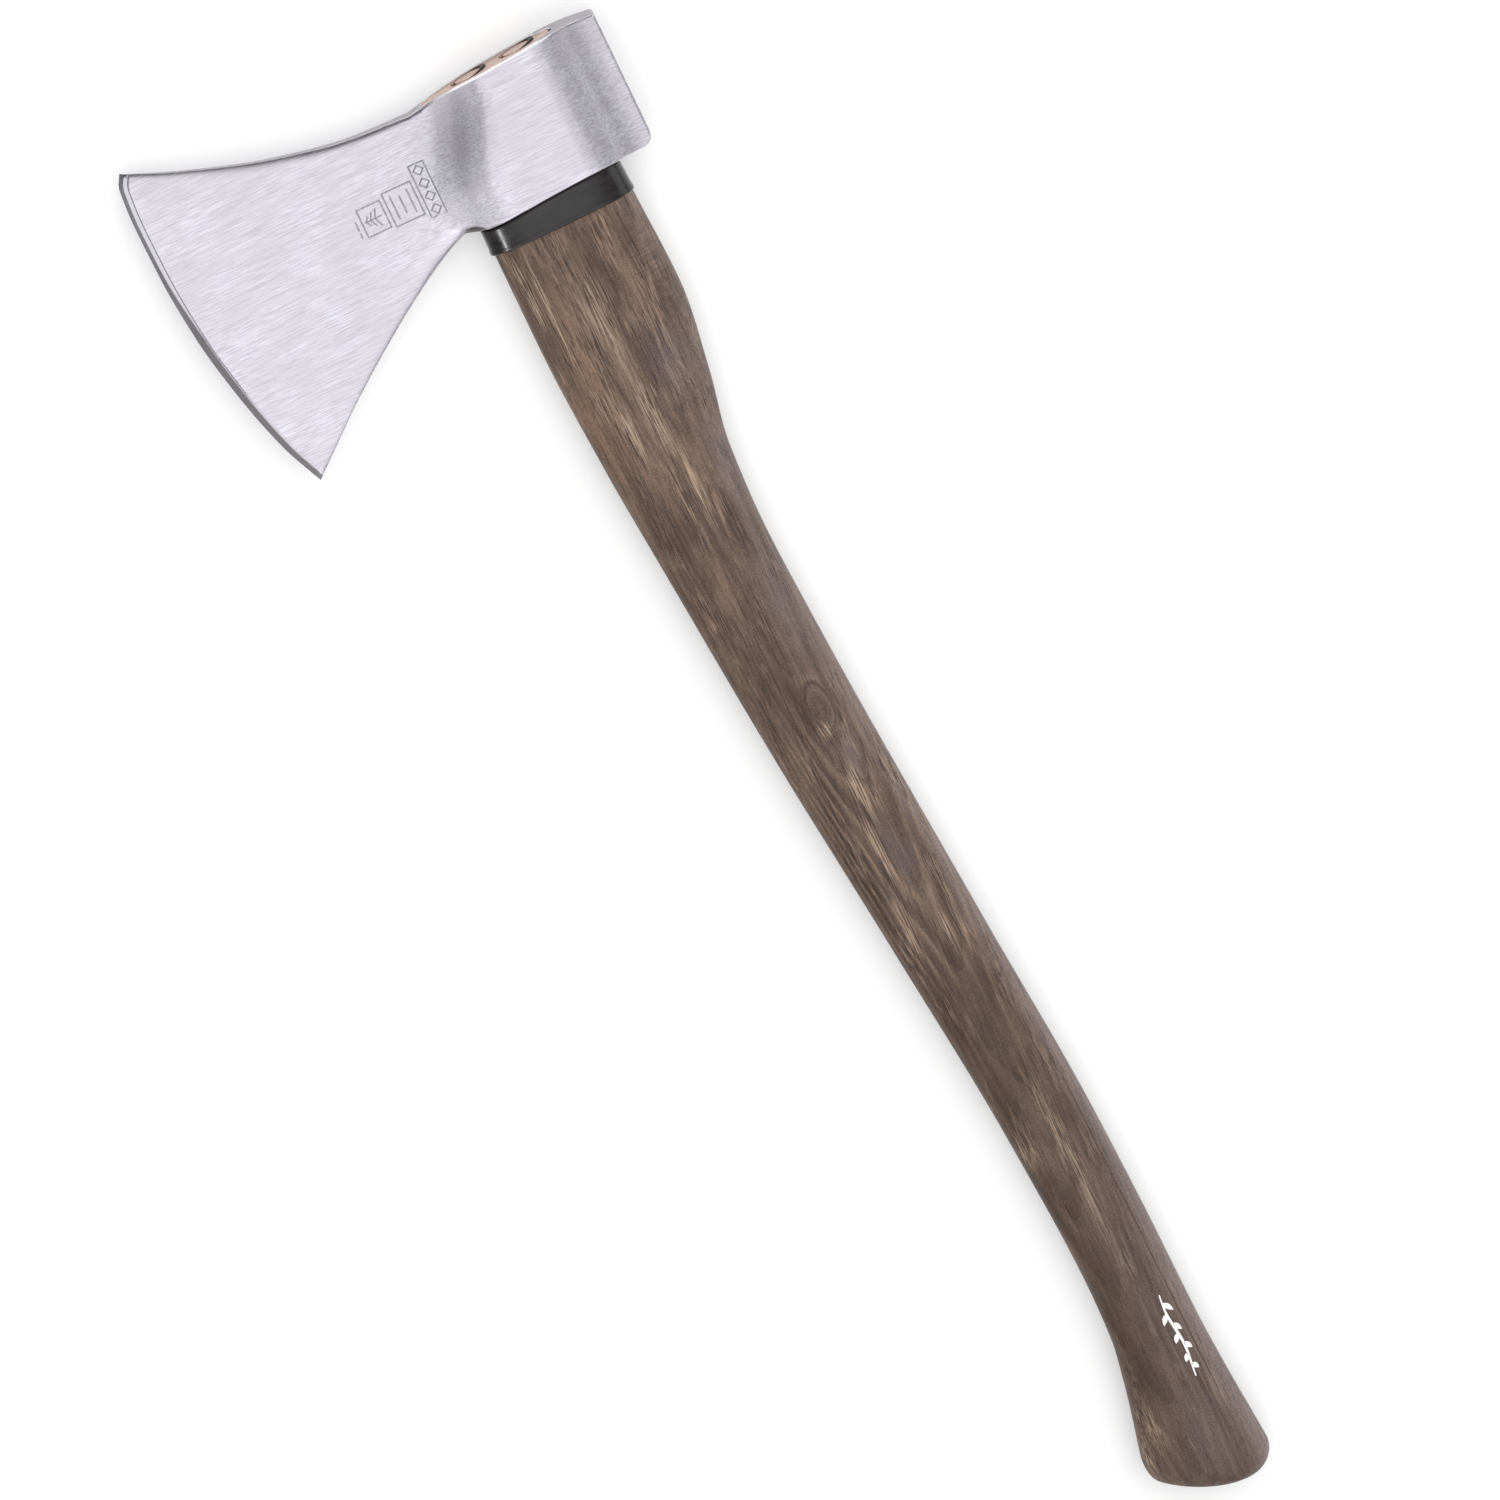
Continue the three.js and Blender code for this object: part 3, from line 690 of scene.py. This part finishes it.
def make_handle():
    handle = loft("hickory_handle", tongue_rings() + shaft_rings() + butt_rings())
    grooves = [wedge_ring("groove", x, GROOVE_CLEARANCE, GROOVE_OVERRUN) for x in WEDGE_X.values()]
    subtract(handle, *grooves)
    finish_mesh(handle, 40)
    x, y, z = corners(handle).T
    facing = vertex_data(handle, "normal")
    upper = step(z, *UPPER_SIDE)
    patches = {"cool": COOL_PATCHES, "warm": WARM_PATCHES, "pale": PALE_STREAKS_AND_HIGHLIGHT, "chatter": CHATTER}
    for name, places in patches.items():
        store(handle, **{name: np.clip(upper * patched(x, y, places), 0, 1)})
    # The side facing the poll gets a painted sheen: a lighter, cooler colour where the light falls on it.
    poll_side = step(-facing[:, 0], *POLL_FACING)
    deepening = STAIN_DEPTH * step(y, *STAIN_DEEPENS) * (1 - 0.7 * poll_side)
    arches = step(y, *ARCHES_START) * (1 - step(y, *ARCHES_END)) * upper
    before, after = VEIN_FADE
    shown = sum(step(y, low - before, low) * (1 - step(y, high, high + after)) for low, high in VEIN_SHOWN)
    near_knots = patched(x, y, KNOTS)
    off_knot = np.min([off_centre(x, y, knot) for knot in KNOTS], axis=0)
    flow = upper * sum(knot.amount * (knot.x - x) * oval(x, y, knot) for knot in KNOTS)
    aside = x + flow - FIGURE_MIDDLE(y)
    figure = upper * KNOT_LIFT * near_knots + (aside / ARCH_WIDTH) ** 2 + y / ARCH_LENGTH
    store(handle,
          raw=(y < EYE_BASE_Y + 1).astype(float),
          grimy=step(-z, *LOWER_END),
          end_grain=step(np.abs(facing[:, 1]), *END_FACING),
          poll_side=poll_side * lerp(*PAINTED_SHEEN, step(y, *PAINTED_SHEEN_GROWS)),
          dark=np.clip(upper * patched(x, y, DARK_PATCHES) + deepening, 0, 1),
          openness=lerp(1.0, GRAIN_AT_BUTT, step(y, *GRAIN_CLOSES)),
          flow=flow,
          figure=figure,
          arched=lerp(ARCHES_ELSEWHERE, 1.0, arches),
          knot=np.minimum(off_knot, KNOT_REACH) + KNOT_REACH * (1 - upper),
          knot_shown=near_knots,
          vein=x + flow - VEIN(y),
          vein_shown=shown * upper)
    return handle


# ---------------------------------------------------------------- the sleeve

def make_sleeve():
    """A collar whose rings go down the outside and back up the inside."""
    under_head = under(head_base, SLEEVE_GAP)

    def outside(share):
        return blend_sections(SLEEVE_TOP, SLEEVE_BASE, share)

    def partway(share):
        return lambda x: lerp(under_head(x), base, share)

    base = SLEEVE_BASE_Y
    rings = [ring(SLEEVE_TOP, under_head, -0.6), ring(SLEEVE_TOP, under(under_head, 0.12), -0.2),
             ring(SLEEVE_TOP, under(under_head, 0.5))]
    for share in np.linspace(0.1, 0.8, 10):
        rings.append(ring(outside(share), partway(share), -SLEEVE_HOLLOW * np.sin(np.pi * share)))
    for drop, grow in ((1.4, 0.02), (0.9, 0.1), (0.45, 0.05), (0.15, -0.15), (0.0, -0.55)):
        rings.append(ring(SLEEVE_BASE, level(base - drop), grow))
    rings += [ring(SHOULDER_BASE, level(base), 0.1), ring(SHOULDER_TOP, level(SHOULDER_TOP_Y + 0.3), 0.15),
              ring(SHOULDER_TOP, under_head, 0.3)]
    sleeve = make_piece("moulded_sleeve", np.concatenate(rings), tube_faces(len(rings), 128, closed=True))
    finish_mesh(sleeve, 50)
    return sleeve


# ---------------------------------------------------------------- the print on the handle

PRINT_X = -22.0
PRINT_START_Y = 588
PRINT_LENGTH = 39.5
PRINT_THICKNESS = 0.12


def stroke(centre, half_width):
    """A flat strip of points, three across, along a centre line of (x, y) pairs."""
    ahead = np.gradient(centre, axis=0)
    ahead /= np.linalg.norm(ahead, axis=1)[:, None]
    side = np.stack([-ahead[:, 1], ahead[:, 0]], 1) * half_width[:, None]
    return np.stack([centre - side, centre, centre + side], 1)


def stem(t):
    """A point, or points, on the sprig's waving stem."""
    return np.stack([PRINT_X + 0.7 * np.sin(2.4 * np.pi * t), PRINT_START_Y + PRINT_LENGTH * t], -1)


def print_strokes():
    """A plain sprig: a waving stem with leaves on both of its sides."""
    t = np.linspace(0, 1, 60)
    strokes = [stroke(stem(t), 0.25 + 0.35 * np.sin(np.pi * np.clip(t, 0.02, 0.98)))]
    u = np.linspace(0.0, 1, 16)
    for i in range(7):
        at = 0.1 + 0.125 * i
        side = 1 if i % 2 else -1
        length = 4.6 - 0.25 * i
        leaf = stem(at) + np.stack([side * length * 0.72 * u, length * (0.75 * u + 0.25 * u * u)], 1)
        strokes.append(stroke(leaf, 1.15 * np.sin(np.pi * np.clip(u, 0.03, 0.97)) ** 0.8))
    return strokes


def make_print(handle):
    """The strokes as one thin layer that lies on the handle's upper side."""
    surface = BVHTree.FromPolygons([v.co for v in handle.data.vertices],
                                   [list(p.vertices) for p in handle.data.polygons])
    points, faces = [], []
    for strip in print_strokes():
        start = len(points)
        spots = strip.reshape(-1, 2)
        for offset in (PRINT_THICKNESS, -PRINT_THICKNESS):
            for x, y in spots:
                hit = surface.ray_cast(Vector((x * MM, y * MM, 0.1)), Vector((0, 0, -1)))[0]
                points.append((x, y, hit.z / MM - MIDDLE_Z + offset))
        count = len(strip)
        rim = [3 * k for k in range(count)] + [3 * (count - 1) + 1]
        rim += [3 * k + 2 for k in reversed(range(count))] + [1]
        below = len(spots)
        for k in range(count - 1):
            for c in (0, 1):
                quad = [3 * k + c, 3 * k + c + 1, 3 * k + c + 4, 3 * k + c + 3]
                faces.append([start + q for q in quad])
                faces.append([start + below + q for q in reversed(quad)])
        for a, b in zip(rim, rim[1:] + rim[:1]):
            faces.append([start + a, start + b, start + below + b, start + below + a])
    mark = make_piece("printed_sprig", points, faces)
    finish_mesh(mark, 40)
    return mark


# ---------------------------------------------------------------- finishes

def rgb(red, green, blue):
    """A colour from its 0 to 255 screen values, as the linear colour that shaders use."""
    c = np.array([red, green, blue]) / 255
    linear = np.where(c <= 0.04045, c / 12.92, ((c + 0.055) / 1.055) ** 2.4)
    return (*linear.tolist(), 1.0)


class Nodes:
    """A node tree, with short calls for the nodes that are used."""

    def __init__(self, tree):
        self.tree = tree

    def feed(self, socket, value):
        if isinstance(value, bpy.types.NodeSocket):
            self.tree.links.new(value, socket)
        else:
            socket.default_value = value

    def node(self, kind, inputs, **settings):
        node = self.tree.nodes.new("ShaderNode" + kind)
        for key, value in settings.items():
            setattr(node, key, value)
        for key, value in inputs.items():
            self.feed(node.inputs[key], value)
        return node

    def math(self, operation, *values, clamp=False):
        return self.node("Math", dict(enumerate(values)), operation=operation, use_clamp=clamp).outputs[0]

    def times(self, *values, clamp=False):
        return self.math("MULTIPLY", *values, clamp=clamp)

    def plus(self, *values):
        return self.math("ADD", *values)

    def span(self, value, low, high, to_low=0.0, to_high=1.0):
        """Maps low..high smoothly onto to_low..to_high."""
        limits = {"From Min": low, "From Max": high, "To Min": to_low, "To Max": to_high}
        mapped = self.node("MapRange", {"Value": value, **limits}, interpolation_type="SMOOTHSTEP")
        return mapped.outputs["Result"]


class Finish(Nodes):
    """A material, with its shader."""

    def __init__(self, name):
        self.material = bpy.data.materials.new(name)
        self.material.use_nodes = True
        super().__init__(self.material.node_tree)
        self.surface = self.tree.nodes["Principled BSDF"]

    def shade(self, socket, value):
        self.feed(self.surface.inputs[socket], value)

    def spot(self, x, y, z):
        """The place on the piece, counted in features per millimetre along each axis."""
        place = self.node("TexCoord", {}).outputs["Object"]
        return self.node("Mapping", {"Vector": place, "Scale": (x / MM, y / MM, z / MM)}).outputs["Vector"]

    def noise(self, vector, detail=2.0, roughness=0.5):
        inputs = {"Vector": vector, "Scale": 1.0, "Detail": detail, "Roughness": roughness}
        return self.node("TexNoise", inputs).outputs["Fac"]

    def number(self, name):
        return self.node("Attribute", {}, attribute_name=name).outputs["Fac"]

    def mix(self, share, first, second, blend="MIX"):
        inputs = {0: share, 6: first, 7: second}
        return self.node("Mix", inputs, data_type="RGBA", blend_type=blend).outputs[2]

    def stain(self, under, name, share, colour):
        """The colour over what is under it, where the piece's number of that name is above 0."""
        return self.mix(self.times(self.number(name), share), under, colour)

    def ramp(self, value, *stops):
        node = self.node("ValToRGB", {"Fac": value})
        elements = node.color_ramp.elements
        while len(elements) < len(stops):
            elements.new(0.5)
        for element, (position, colour) in zip(elements, stops):
            element.position = position
            element.color = colour
        return node.outputs["Color"]

    def bump(self, height, depth, below=None):
        """Relief of the given depth, in millimetres, on top of any relief below."""
        inputs = {"Height": height, "Distance": depth * MM, "Strength": 1.0}
        if below is not None:
            inputs["Normal"] = below
        return self.node("Bump", inputs).outputs["Normal"]

    def put_on(self, piece):
        piece.data.materials.clear()
        piece.data.materials.append(self.material)


def steel_finish():
    """Bright ground steel, brushed along the head."""
    steel = Finish("brushed_forged_steel")
    fine = steel.noise(steel.spot(0.08, 2.1, 2.1), detail=2, roughness=0.6)
    coarse = steel.noise(steel.spot(0.03, 0.9, 0.9), detail=2, roughness=0.6)
    cloud = steel.noise(steel.spot(0.05, 0.07, 0.07), detail=3)
    brushed = steel.plus(steel.times(coarse, 0.22), steel.times(fine, 0.78))
    bright = steel.ramp(brushed, (0.38, rgb(200, 197, 206)), (0.5, rgb(223, 220, 231)),
                        (0.62, rgb(241, 239, 248)))
    toned = steel.mix(steel.span(cloud, 0.35, 0.65, 0.0, 0.4), bright, rgb(212, 207, 214))
    ground = steel.mix(steel.number("ground"), rgb(166, 163, 165), toned)
    # Painted shade: the bevel is darkened, standing in for the dark surroundings it reflects; its lower
    # roughness is its real polish.
    bevel_painted_dark = steel.stain(ground, "bevel", 0.7, rgb(198, 196, 202))
    # Painted shade: the honed flat is painted dark grey, more towards the heel, standing in for the dark
    # surroundings it reflects.
    honed = steel.stain(bevel_painted_dark, "honed", 0.97, rgb(122, 119, 123))
    # Painted shade on the base's lip in front of the sleeve.
    scaled = steel.stain(honed, "scale", 0.9, rgb(84, 79, 76))
    # Painted highlight: near white on the near side's top chamfer beside the eye.
    rim_highlighted = steel.stain(scaled, "rim", 1.0, rgb(252, 251, 253))
    marked = steel.stain(rim_highlighted, "mark", 1.0, rgb(146, 144, 150))
    steel.shade("Base Color", marked)
    rough = steel.math("SUBTRACT", steel.span(brushed, 0.35, 0.65, 0.33, 0.4),
                       steel.times(steel.number("bevel"), 0.1))
    steel.shade("Roughness", rough)
    relief = steel.bump(coarse, 0.01)
    steel.shade("Normal", steel.bump(fine, 0.014, relief))
    steel.shade("Metallic", 1.0)
    return steel


def hickory_finish():
    """Brown-stained hickory: arched figure, streaks, pores and patches, with raw end grain in the eye."""
    wood = Finish("stained_hickory")
    flow = wood.node("CombineXYZ", {"X": wood.times(wood.number("flow"), MM)}).outputs["Vector"]

    def grain(across, along, shift=0.0, **settings):
        """Noise whose features are across mm wide and along mm long, and flow around the knots."""
        place = wood.node("TexCoord", {}).outputs["Object"]
        moved = wood.node("VectorMath", {0: place, 1: flow}, operation="ADD").outputs["Vector"]
        size = (1 / across / MM, 1 / along / MM, 1 / across / MM)
        spot = wood.node("Mapping", {"Vector": moved, "Scale": size, "Location": (shift, shift, shift)})
        return wood.noise(spot.outputs["Vector"], **settings)

    wander = grain(22, 90, detail=2)
    streaks = grain(2.8, 80, 3.0, detail=3, roughness=0.6)
    fibre = grain(0.8, 38, 7.0, detail=1.5, roughness=0.6)
    hairs = grain(0.42, 17, 11.0, detail=1, roughness=0.5)
    speckle = grain(0.5, 0.8, 5.0, detail=2, roughness=0.7)
    blotches = grain(10, 34, 17.0, detail=4, roughness=0.6)
    clusters = grain(8, 34, 23.0, detail=3)
    dashes = grain(0.5, 9, 29.0, detail=1, roughness=0.5)
    ripple = grain(9, 1.7, 37.0, detail=2)

    # Stain: cool, warm and dark patches over a mottled brown, with a painted sheen on the side facing the
    # poll.
    brown = wood.ramp(blotches, (0.36, rgb(68, 50, 40)), (0.5, rgb(89, 69, 57)), (0.64, rgb(112, 90, 75)))
    cooled = wood.stain(brown, "cool", 0.85, rgb(99, 87, 88))
    # Painted sheen: lighter and cooler on the side facing the poll.
    painted_sheen = wood.stain(cooled, "poll_side", 0.75, rgb(124, 112, 110))
    warmed = wood.stain(painted_sheen, "warm", 0.7, rgb(128, 101, 82))
    stained = wood.stain(warmed, "dark", 0.7, rgb(64, 45, 35))

    # Growth layers: thin dark lines, each with a paler band behind it. Lines also run round the knots.
    arched = wood.number("arched")
    layer = wood.math("FRACT", wood.plus(wood.number("figure"), wood.times(wander, 2.0)))
    line = wood.times(wood.span(layer, 0.02, 0.2, 1.0, 0.0), wood.span(layer, 0.0, 0.02))
    line = wood.times(wood.times(line, wood.span(clusters, 0.38, 0.6, 0.3, 1.0)), arched)
    off_knot = wood.math("ABSOLUTE", wood.math("SUBTRACT", wood.number("knot"), 0.9))
    outline = wood.times(wood.span(off_knot, 0.05, 0.25, 2.0, 0.0), wood.number("knot_shown"))
    off_vein = wood.math("ABSOLUTE", wood.number("vein"))
    vein = wood.times(wood.span(off_vein, 0.15, 0.45, 0.8, 0.0), wood.number("vein_shown"))
    drawn = wood.math("MAXIMUM", line, wood.math("MAXIMUM", outline, vein))
    band = wood.times(wood.span(layer, 0.12, 0.7, 0.42, 0.0), arched)
    banded = wood.mix(band, stained, rgb(140, 116, 97))
    lined = wood.mix(wood.times(drawn, 0.75), banded, rgb(48, 36, 30))

    # Streaks and fibres make the brown lighter or darker, less so in the cool patches.
    calm = wood.math("SUBTRACT", 1.0, wood.times(wood.number("cool"), 0.7))
    openness = wood.number("openness")
    open_grain = wood.times(wood.times(wood.span(clusters, 0.42, 0.6, 0.4, 1.2), openness), calm)
    fine = wood.plus(wood.span(fibre, 0.36, 0.64, -0.2, 0.2), wood.span(hairs, 0.36, 0.64, -0.22, 0.22))
    light = wood.plus(wood.span(streaks, 0.36, 0.64, 0.84, 1.14), wood.times(fine, open_grain))
    chatter = wood.times(wood.span(ripple, 0.36, 0.64, -0.22, 0.22), wood.number("chatter"))
    light = wood.plus(wood.plus(light, chatter), wood.span(speckle, 0.36, 0.64, -0.24, 0.24))
    tint = wood.node("CombineColor", {"Red": light, "Green": light, "Blue": light}).outputs["Color"]
    streaked = wood.mix(1.0, lined, tint, blend="MULTIPLY")

    # Pale flecks and dark pores, gathered in clusters. The pale flecks along the front corner below the
    # sleeve are partly a painted highlight.
    pale = wood.plus(wood.number("pale"), wood.times(wood.span(clusters, 0.54, 0.7, 0.0, 0.35), openness))
    fleck = wood.times(wood.span(hairs, 0.44, 0.57), pale, clamp=True)
    flecked = wood.mix(wood.times(fleck, 0.75), streaked, rgb(186, 161, 138))
    pore = wood.times(wood.span(dashes, 0.57, 0.65), wood.span(clusters, 0.4, 0.58, 0.1, 0.75))
    pore = wood.times(pore, calm)
    pored = wood.mix(pore, flecked, rgb(50, 38, 32))

    cut = wood.noise(wood.spot(0.11, 0.4, 1.0), detail=5, roughness=0.7)
    clean = wood.ramp(cut, (0.36, rgb(150, 114, 98)), (0.46, rgb(206, 174, 158)),
                      (0.64, rgb(234, 208, 194)))
    # The raw end grain is darker towards its lower side.
    end = wood.stain(clean, "grimy", 0.6, rgb(128, 108, 98))
    soaked = wood.stain(pored, "end_grain", 0.5, rgb(62, 49, 42))
    wood.shade("Base Color", wood.mix(wood.number("raw"), soaked, end))
    wood.shade("Roughness", wood.span(fibre, 0.3, 0.7, 0.42, 0.6))
    relief = wood.bump(wood.plus(fibre, wood.times(hairs, 0.5)), 0.1)
    level_wood = wood.math("SUBTRACT", 1.0, wood.math("MAXIMUM", pore, drawn))
    wood.shade("Normal", wood.bump(level_wood, 0.1, relief))
    return wood


def sleeve_finish():
    """Black moulded rubber, satin."""
    rubber = Finish("moulded_rubber")
    grain = rubber.noise(rubber.spot(1.1, 1.1, 1.1), detail=3)
    scuff = rubber.noise(rubber.spot(0.15, 0.4, 0.15), detail=4, roughness=0.7)
    rubber.shade("Base Color", rubber.ramp(scuff, (0.35, rgb(20, 18, 18)), (0.7, rgb(34, 31, 31))))
    rubber.shade("Roughness", rubber.span(scuff, 0.3, 0.7, 0.15, 0.24))
    rubber.shade("Normal", rubber.bump(grain, 0.004))
    rubber.shade("IOR", 1.52)
    return rubber


def wedge_finish():
    """Dark mill-finished steel with hammer bruises."""
    iron = Finish("dark_wedge_steel")
    grain = iron.noise(iron.spot(1.1, 1.1, 1.1), detail=4, roughness=0.6)
    iron.shade("Base Color", iron.ramp(grain, (0.3, rgb(30, 26, 25)), (0.7, rgb(68, 63, 61))))
    iron.shade("Roughness", iron.span(grain, 0.3, 0.7, 0.4, 0.6))
    iron.shade("Normal", iron.bump(grain, 0.08))
    iron.shade("Metallic", 1.0)
    return iron


def ink_finish():
    """White printing ink, thin enough to take a little of the wood's grain."""
    ink = Finish("white_ink")
    wear = ink.noise(ink.spot(1.5, 0.3, 1.5), detail=4, roughness=0.7)
    ink.shade("Base Color", ink.ramp(wear, (0.25, rgb(214, 210, 204)), (0.5, rgb(244, 243, 240))))
    ink.shade("Roughness", ink.span(wear, 0.3, 0.7, 0.45, 0.6))
    ink.shade("Normal", ink.bump(wear, 0.02))
    return ink


# ---------------------------------------------------------------- the studio

CAMERA_TARGET = (35.9, 291.1, 15.5)
CAMERA_TILT = 10.9
CAMERA_ROLL = -25.74
CAMERA_DISTANCE = 12000
CAMERA_REACH = 100               # metres
VIEW_WIDTH = 656.6
SENSOR = 36
FLOOR_HALF = 30                  # metres


def place_camera():
    """A long lens that looks down on the axe's upper side, tilted towards the top of the head."""
    tilt, roll = np.radians([CAMERA_TILT, CAMERA_ROLL])
    back = Vector((0, -np.sin(tilt), np.cos(tilt)))
    level_right = Vector((-1, 0, 0))
    level_up = back.cross(level_right)
    right = level_right * np.cos(roll) + level_up * np.sin(roll)
    up = level_up * np.cos(roll) - level_right * np.sin(roll)
    data = bpy.data.cameras.new("camera")
    data.sensor_width = SENSOR
    data.lens = SENSOR * CAMERA_DISTANCE / VIEW_WIDTH
    data.clip_end = CAMERA_REACH
    camera = add_object("camera", data)
    turned = Matrix((right, up, back)).transposed().to_4x4()
    turned.translation = Vector(CAMERA_TARGET) * MM + back * CAMERA_DISTANCE * MM
    camera.matrix_world = turned
    bpy.context.scene.camera = camera


def lay_floor():
    half = FLOOR_HALF
    mesh = bpy.data.meshes.new("floor")
    spots = [(-half, -half, 0), (half, -half, 0), (half, half, 0), (-half, half, 0)]
    mesh.from_pydata(spots, [], [[0, 1, 2, 3]])
    floor = add_object("floor", mesh)
    pale = Finish("pale_floor")
    pale.shade("Base Color", rgb(215, 215, 215))
    pale.shade("Roughness", 0.9)
    pale.shade("Emission Color", (1, 1, 1, 1))
    pale.shade("Emission Strength", FLOOR_GLOW)
    pale.put_on(floor)


Panel = namedtuple("Panel", "lean_x lean_y half_x half_y soft strength")
# Soft panels in the studio's dome. A panel leans from the zenith towards +X and +Y, in degrees, and its
# half sizes are in degrees too. Its edge fades over the soft share of its size.
PANELS = [
    Panel(3, 26, 21.5, 42, 0.55, 0.96),
    Panel(38, 34, 18, 26, 0.5, 0.74),
    Panel(-64, 10, 16, 50, 0.5, 1.0),
]
DOME_ZENITH = 0.29
DOME_HORIZON = 0.32
TOP_SIDE = 0.45                  # what is left of the dome's light low down past the head's top
TOP_SIDE_FADE = (-0.8, -0.1)
BACKDROP = 0.95
FLOOR_GLOW = 0.25                # the floor is lit a little from below, like a light table
FILL_STRENGTH = 2.2
FILL_SPREAD = 80
FILL_LEAN = (18, -8)             # degrees, towards the head's top and towards the poll

# A narrow light that only the sleeve catches, aimed at a place given as shares of the sleeve's box.
KICKER_AIM = (0.895, 0.5, 0.85)
KICKER_DIRECTION = (0.67, 0.19, 0.72)
KICKER_DISTANCE = 0.3
KICKER_SIZE = (0.014, 0.2)
KICKER_POWER = 0.3


class Dome(Nodes):
    """The world: how bright each direction of the studio is."""

    def __init__(self):
        self.world = bpy.data.worlds.new("studio")
        self.world.use_nodes = True
        super().__init__(self.world.node_tree)
        self.direction = self.node("TexCoord", {}).outputs["Generated"]

    def along(self, axis):
        product = self.node("VectorMath", {0: self.direction, 1: axis}, operation="DOT_PRODUCT")
        return product.outputs["Value"]

    def panel(self, panel):
        lean_x, lean_y, half_x, half_y = np.radians(panel[:4])
        centre = Vector((np.tan(lean_x), np.tan(lean_y), 1)).normalized()
        across = Vector((centre.z, 0, -centre.x)).normalized()
        ahead = centre.cross(across)
        forward = self.math("MAXIMUM", self.along(centre), 0.001)
        u = self.math("DIVIDE", self.along(across), self.times(forward, np.tan(half_x)))
        v = self.math("DIVIDE", self.along(ahead), self.times(forward, np.tan(half_y)))
        away = self.math("SQRT", self.plus(self.times(u, u), self.times(v, v)))
        return self.span(away, 1 - panel.soft, 1 + panel.soft, panel.strength, 0.0)


def light_studio():
    """A pale dome with soft panels in it, and a soft sun that only lights matt surfaces."""
    dome = Dome()
    bpy.context.scene.world = dome.world
    glow = dome.span(dome.along((0, 0, 1)), 0.0, 0.5, DOME_HORIZON, DOME_ZENITH)
    glow = dome.times(glow, dome.span(dome.along((0, 1, 0)), *TOP_SIDE_FADE, TOP_SIDE, 1.0))
    for panel in PANELS:
        glow = dome.plus(glow, dome.panel(panel))
    seen = dome.node("LightPath", {}).outputs["Is Camera Ray"]
    hidden = dome.math("SUBTRACT", 1.0, seen)
    background = dome.tree.nodes["Background"]
    background.inputs["Color"].default_value = (1, 1, 1, 1)
    strength = dome.plus(dome.times(glow, hidden), dome.times(seen, BACKDROP))
    dome.feed(background.inputs["Strength"], strength)
    light = bpy.data.lights.new("fill", "SUN")
    light.energy = FILL_STRENGTH
    light.angle = np.radians(FILL_SPREAD)
    fill = add_object("fill", light)
    fill.rotation_euler = np.radians((*FILL_LEAN, 0))
    fill.visible_glossy = False


def light_sleeve(sleeve):
    """Draws the bright line down the sleeve's front corner."""
    sleeve_box = zip(*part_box("guard_sleeve"), KICKER_AIM)
    corner = Vector([lerp(low, high, share) for low, high, share in sleeve_box])
    direction = Vector(KICKER_DIRECTION).normalized()
    light = bpy.data.lights.new("kicker", "AREA")
    light.shape = "RECTANGLE"
    light.size, light.size_y = KICKER_SIZE
    light.energy = KICKER_POWER
    kicker = add_object("kicker", light)
    kicker.location = corner + direction * KICKER_DISTANCE
    across = Vector((0, 1, 0)).cross(direction).normalized()
    kicker.rotation_euler = Matrix((across, direction.cross(across), direction)).transposed().to_euler()
    kicker.visible_camera = False
    only_sleeve = bpy.data.collections.new("lit_by_kicker")
    only_sleeve.objects.link(sleeve)
    kicker.light_linking.receiver_collection = only_sleeve


# ---------------------------------------------------------------- putting it together

def dress(piece, finish, node=None):
    finish.put_on(piece)
    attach(piece, "root")
    if node:
        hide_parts(node)


bpy.context.scene.view_settings.view_transform = "Standard"
place_camera()
lay_floor()
light_studio()
handle_piece = make_handle()
dress(make_head(), steel_finish(), "axe_head")
dress(handle_piece, hickory_finish(), "handle")
sleeve_piece = make_sleeve()
dress(sleeve_piece, sleeve_finish(), "guard_sleeve")
light_sleeve(sleeve_piece)
wedge_steel = wedge_finish()
for wedge_name in WEDGE_X:
    dress(make_wedge(wedge_name), wedge_steel, wedge_name)
dress(make_print(handle_piece), ink_finish())
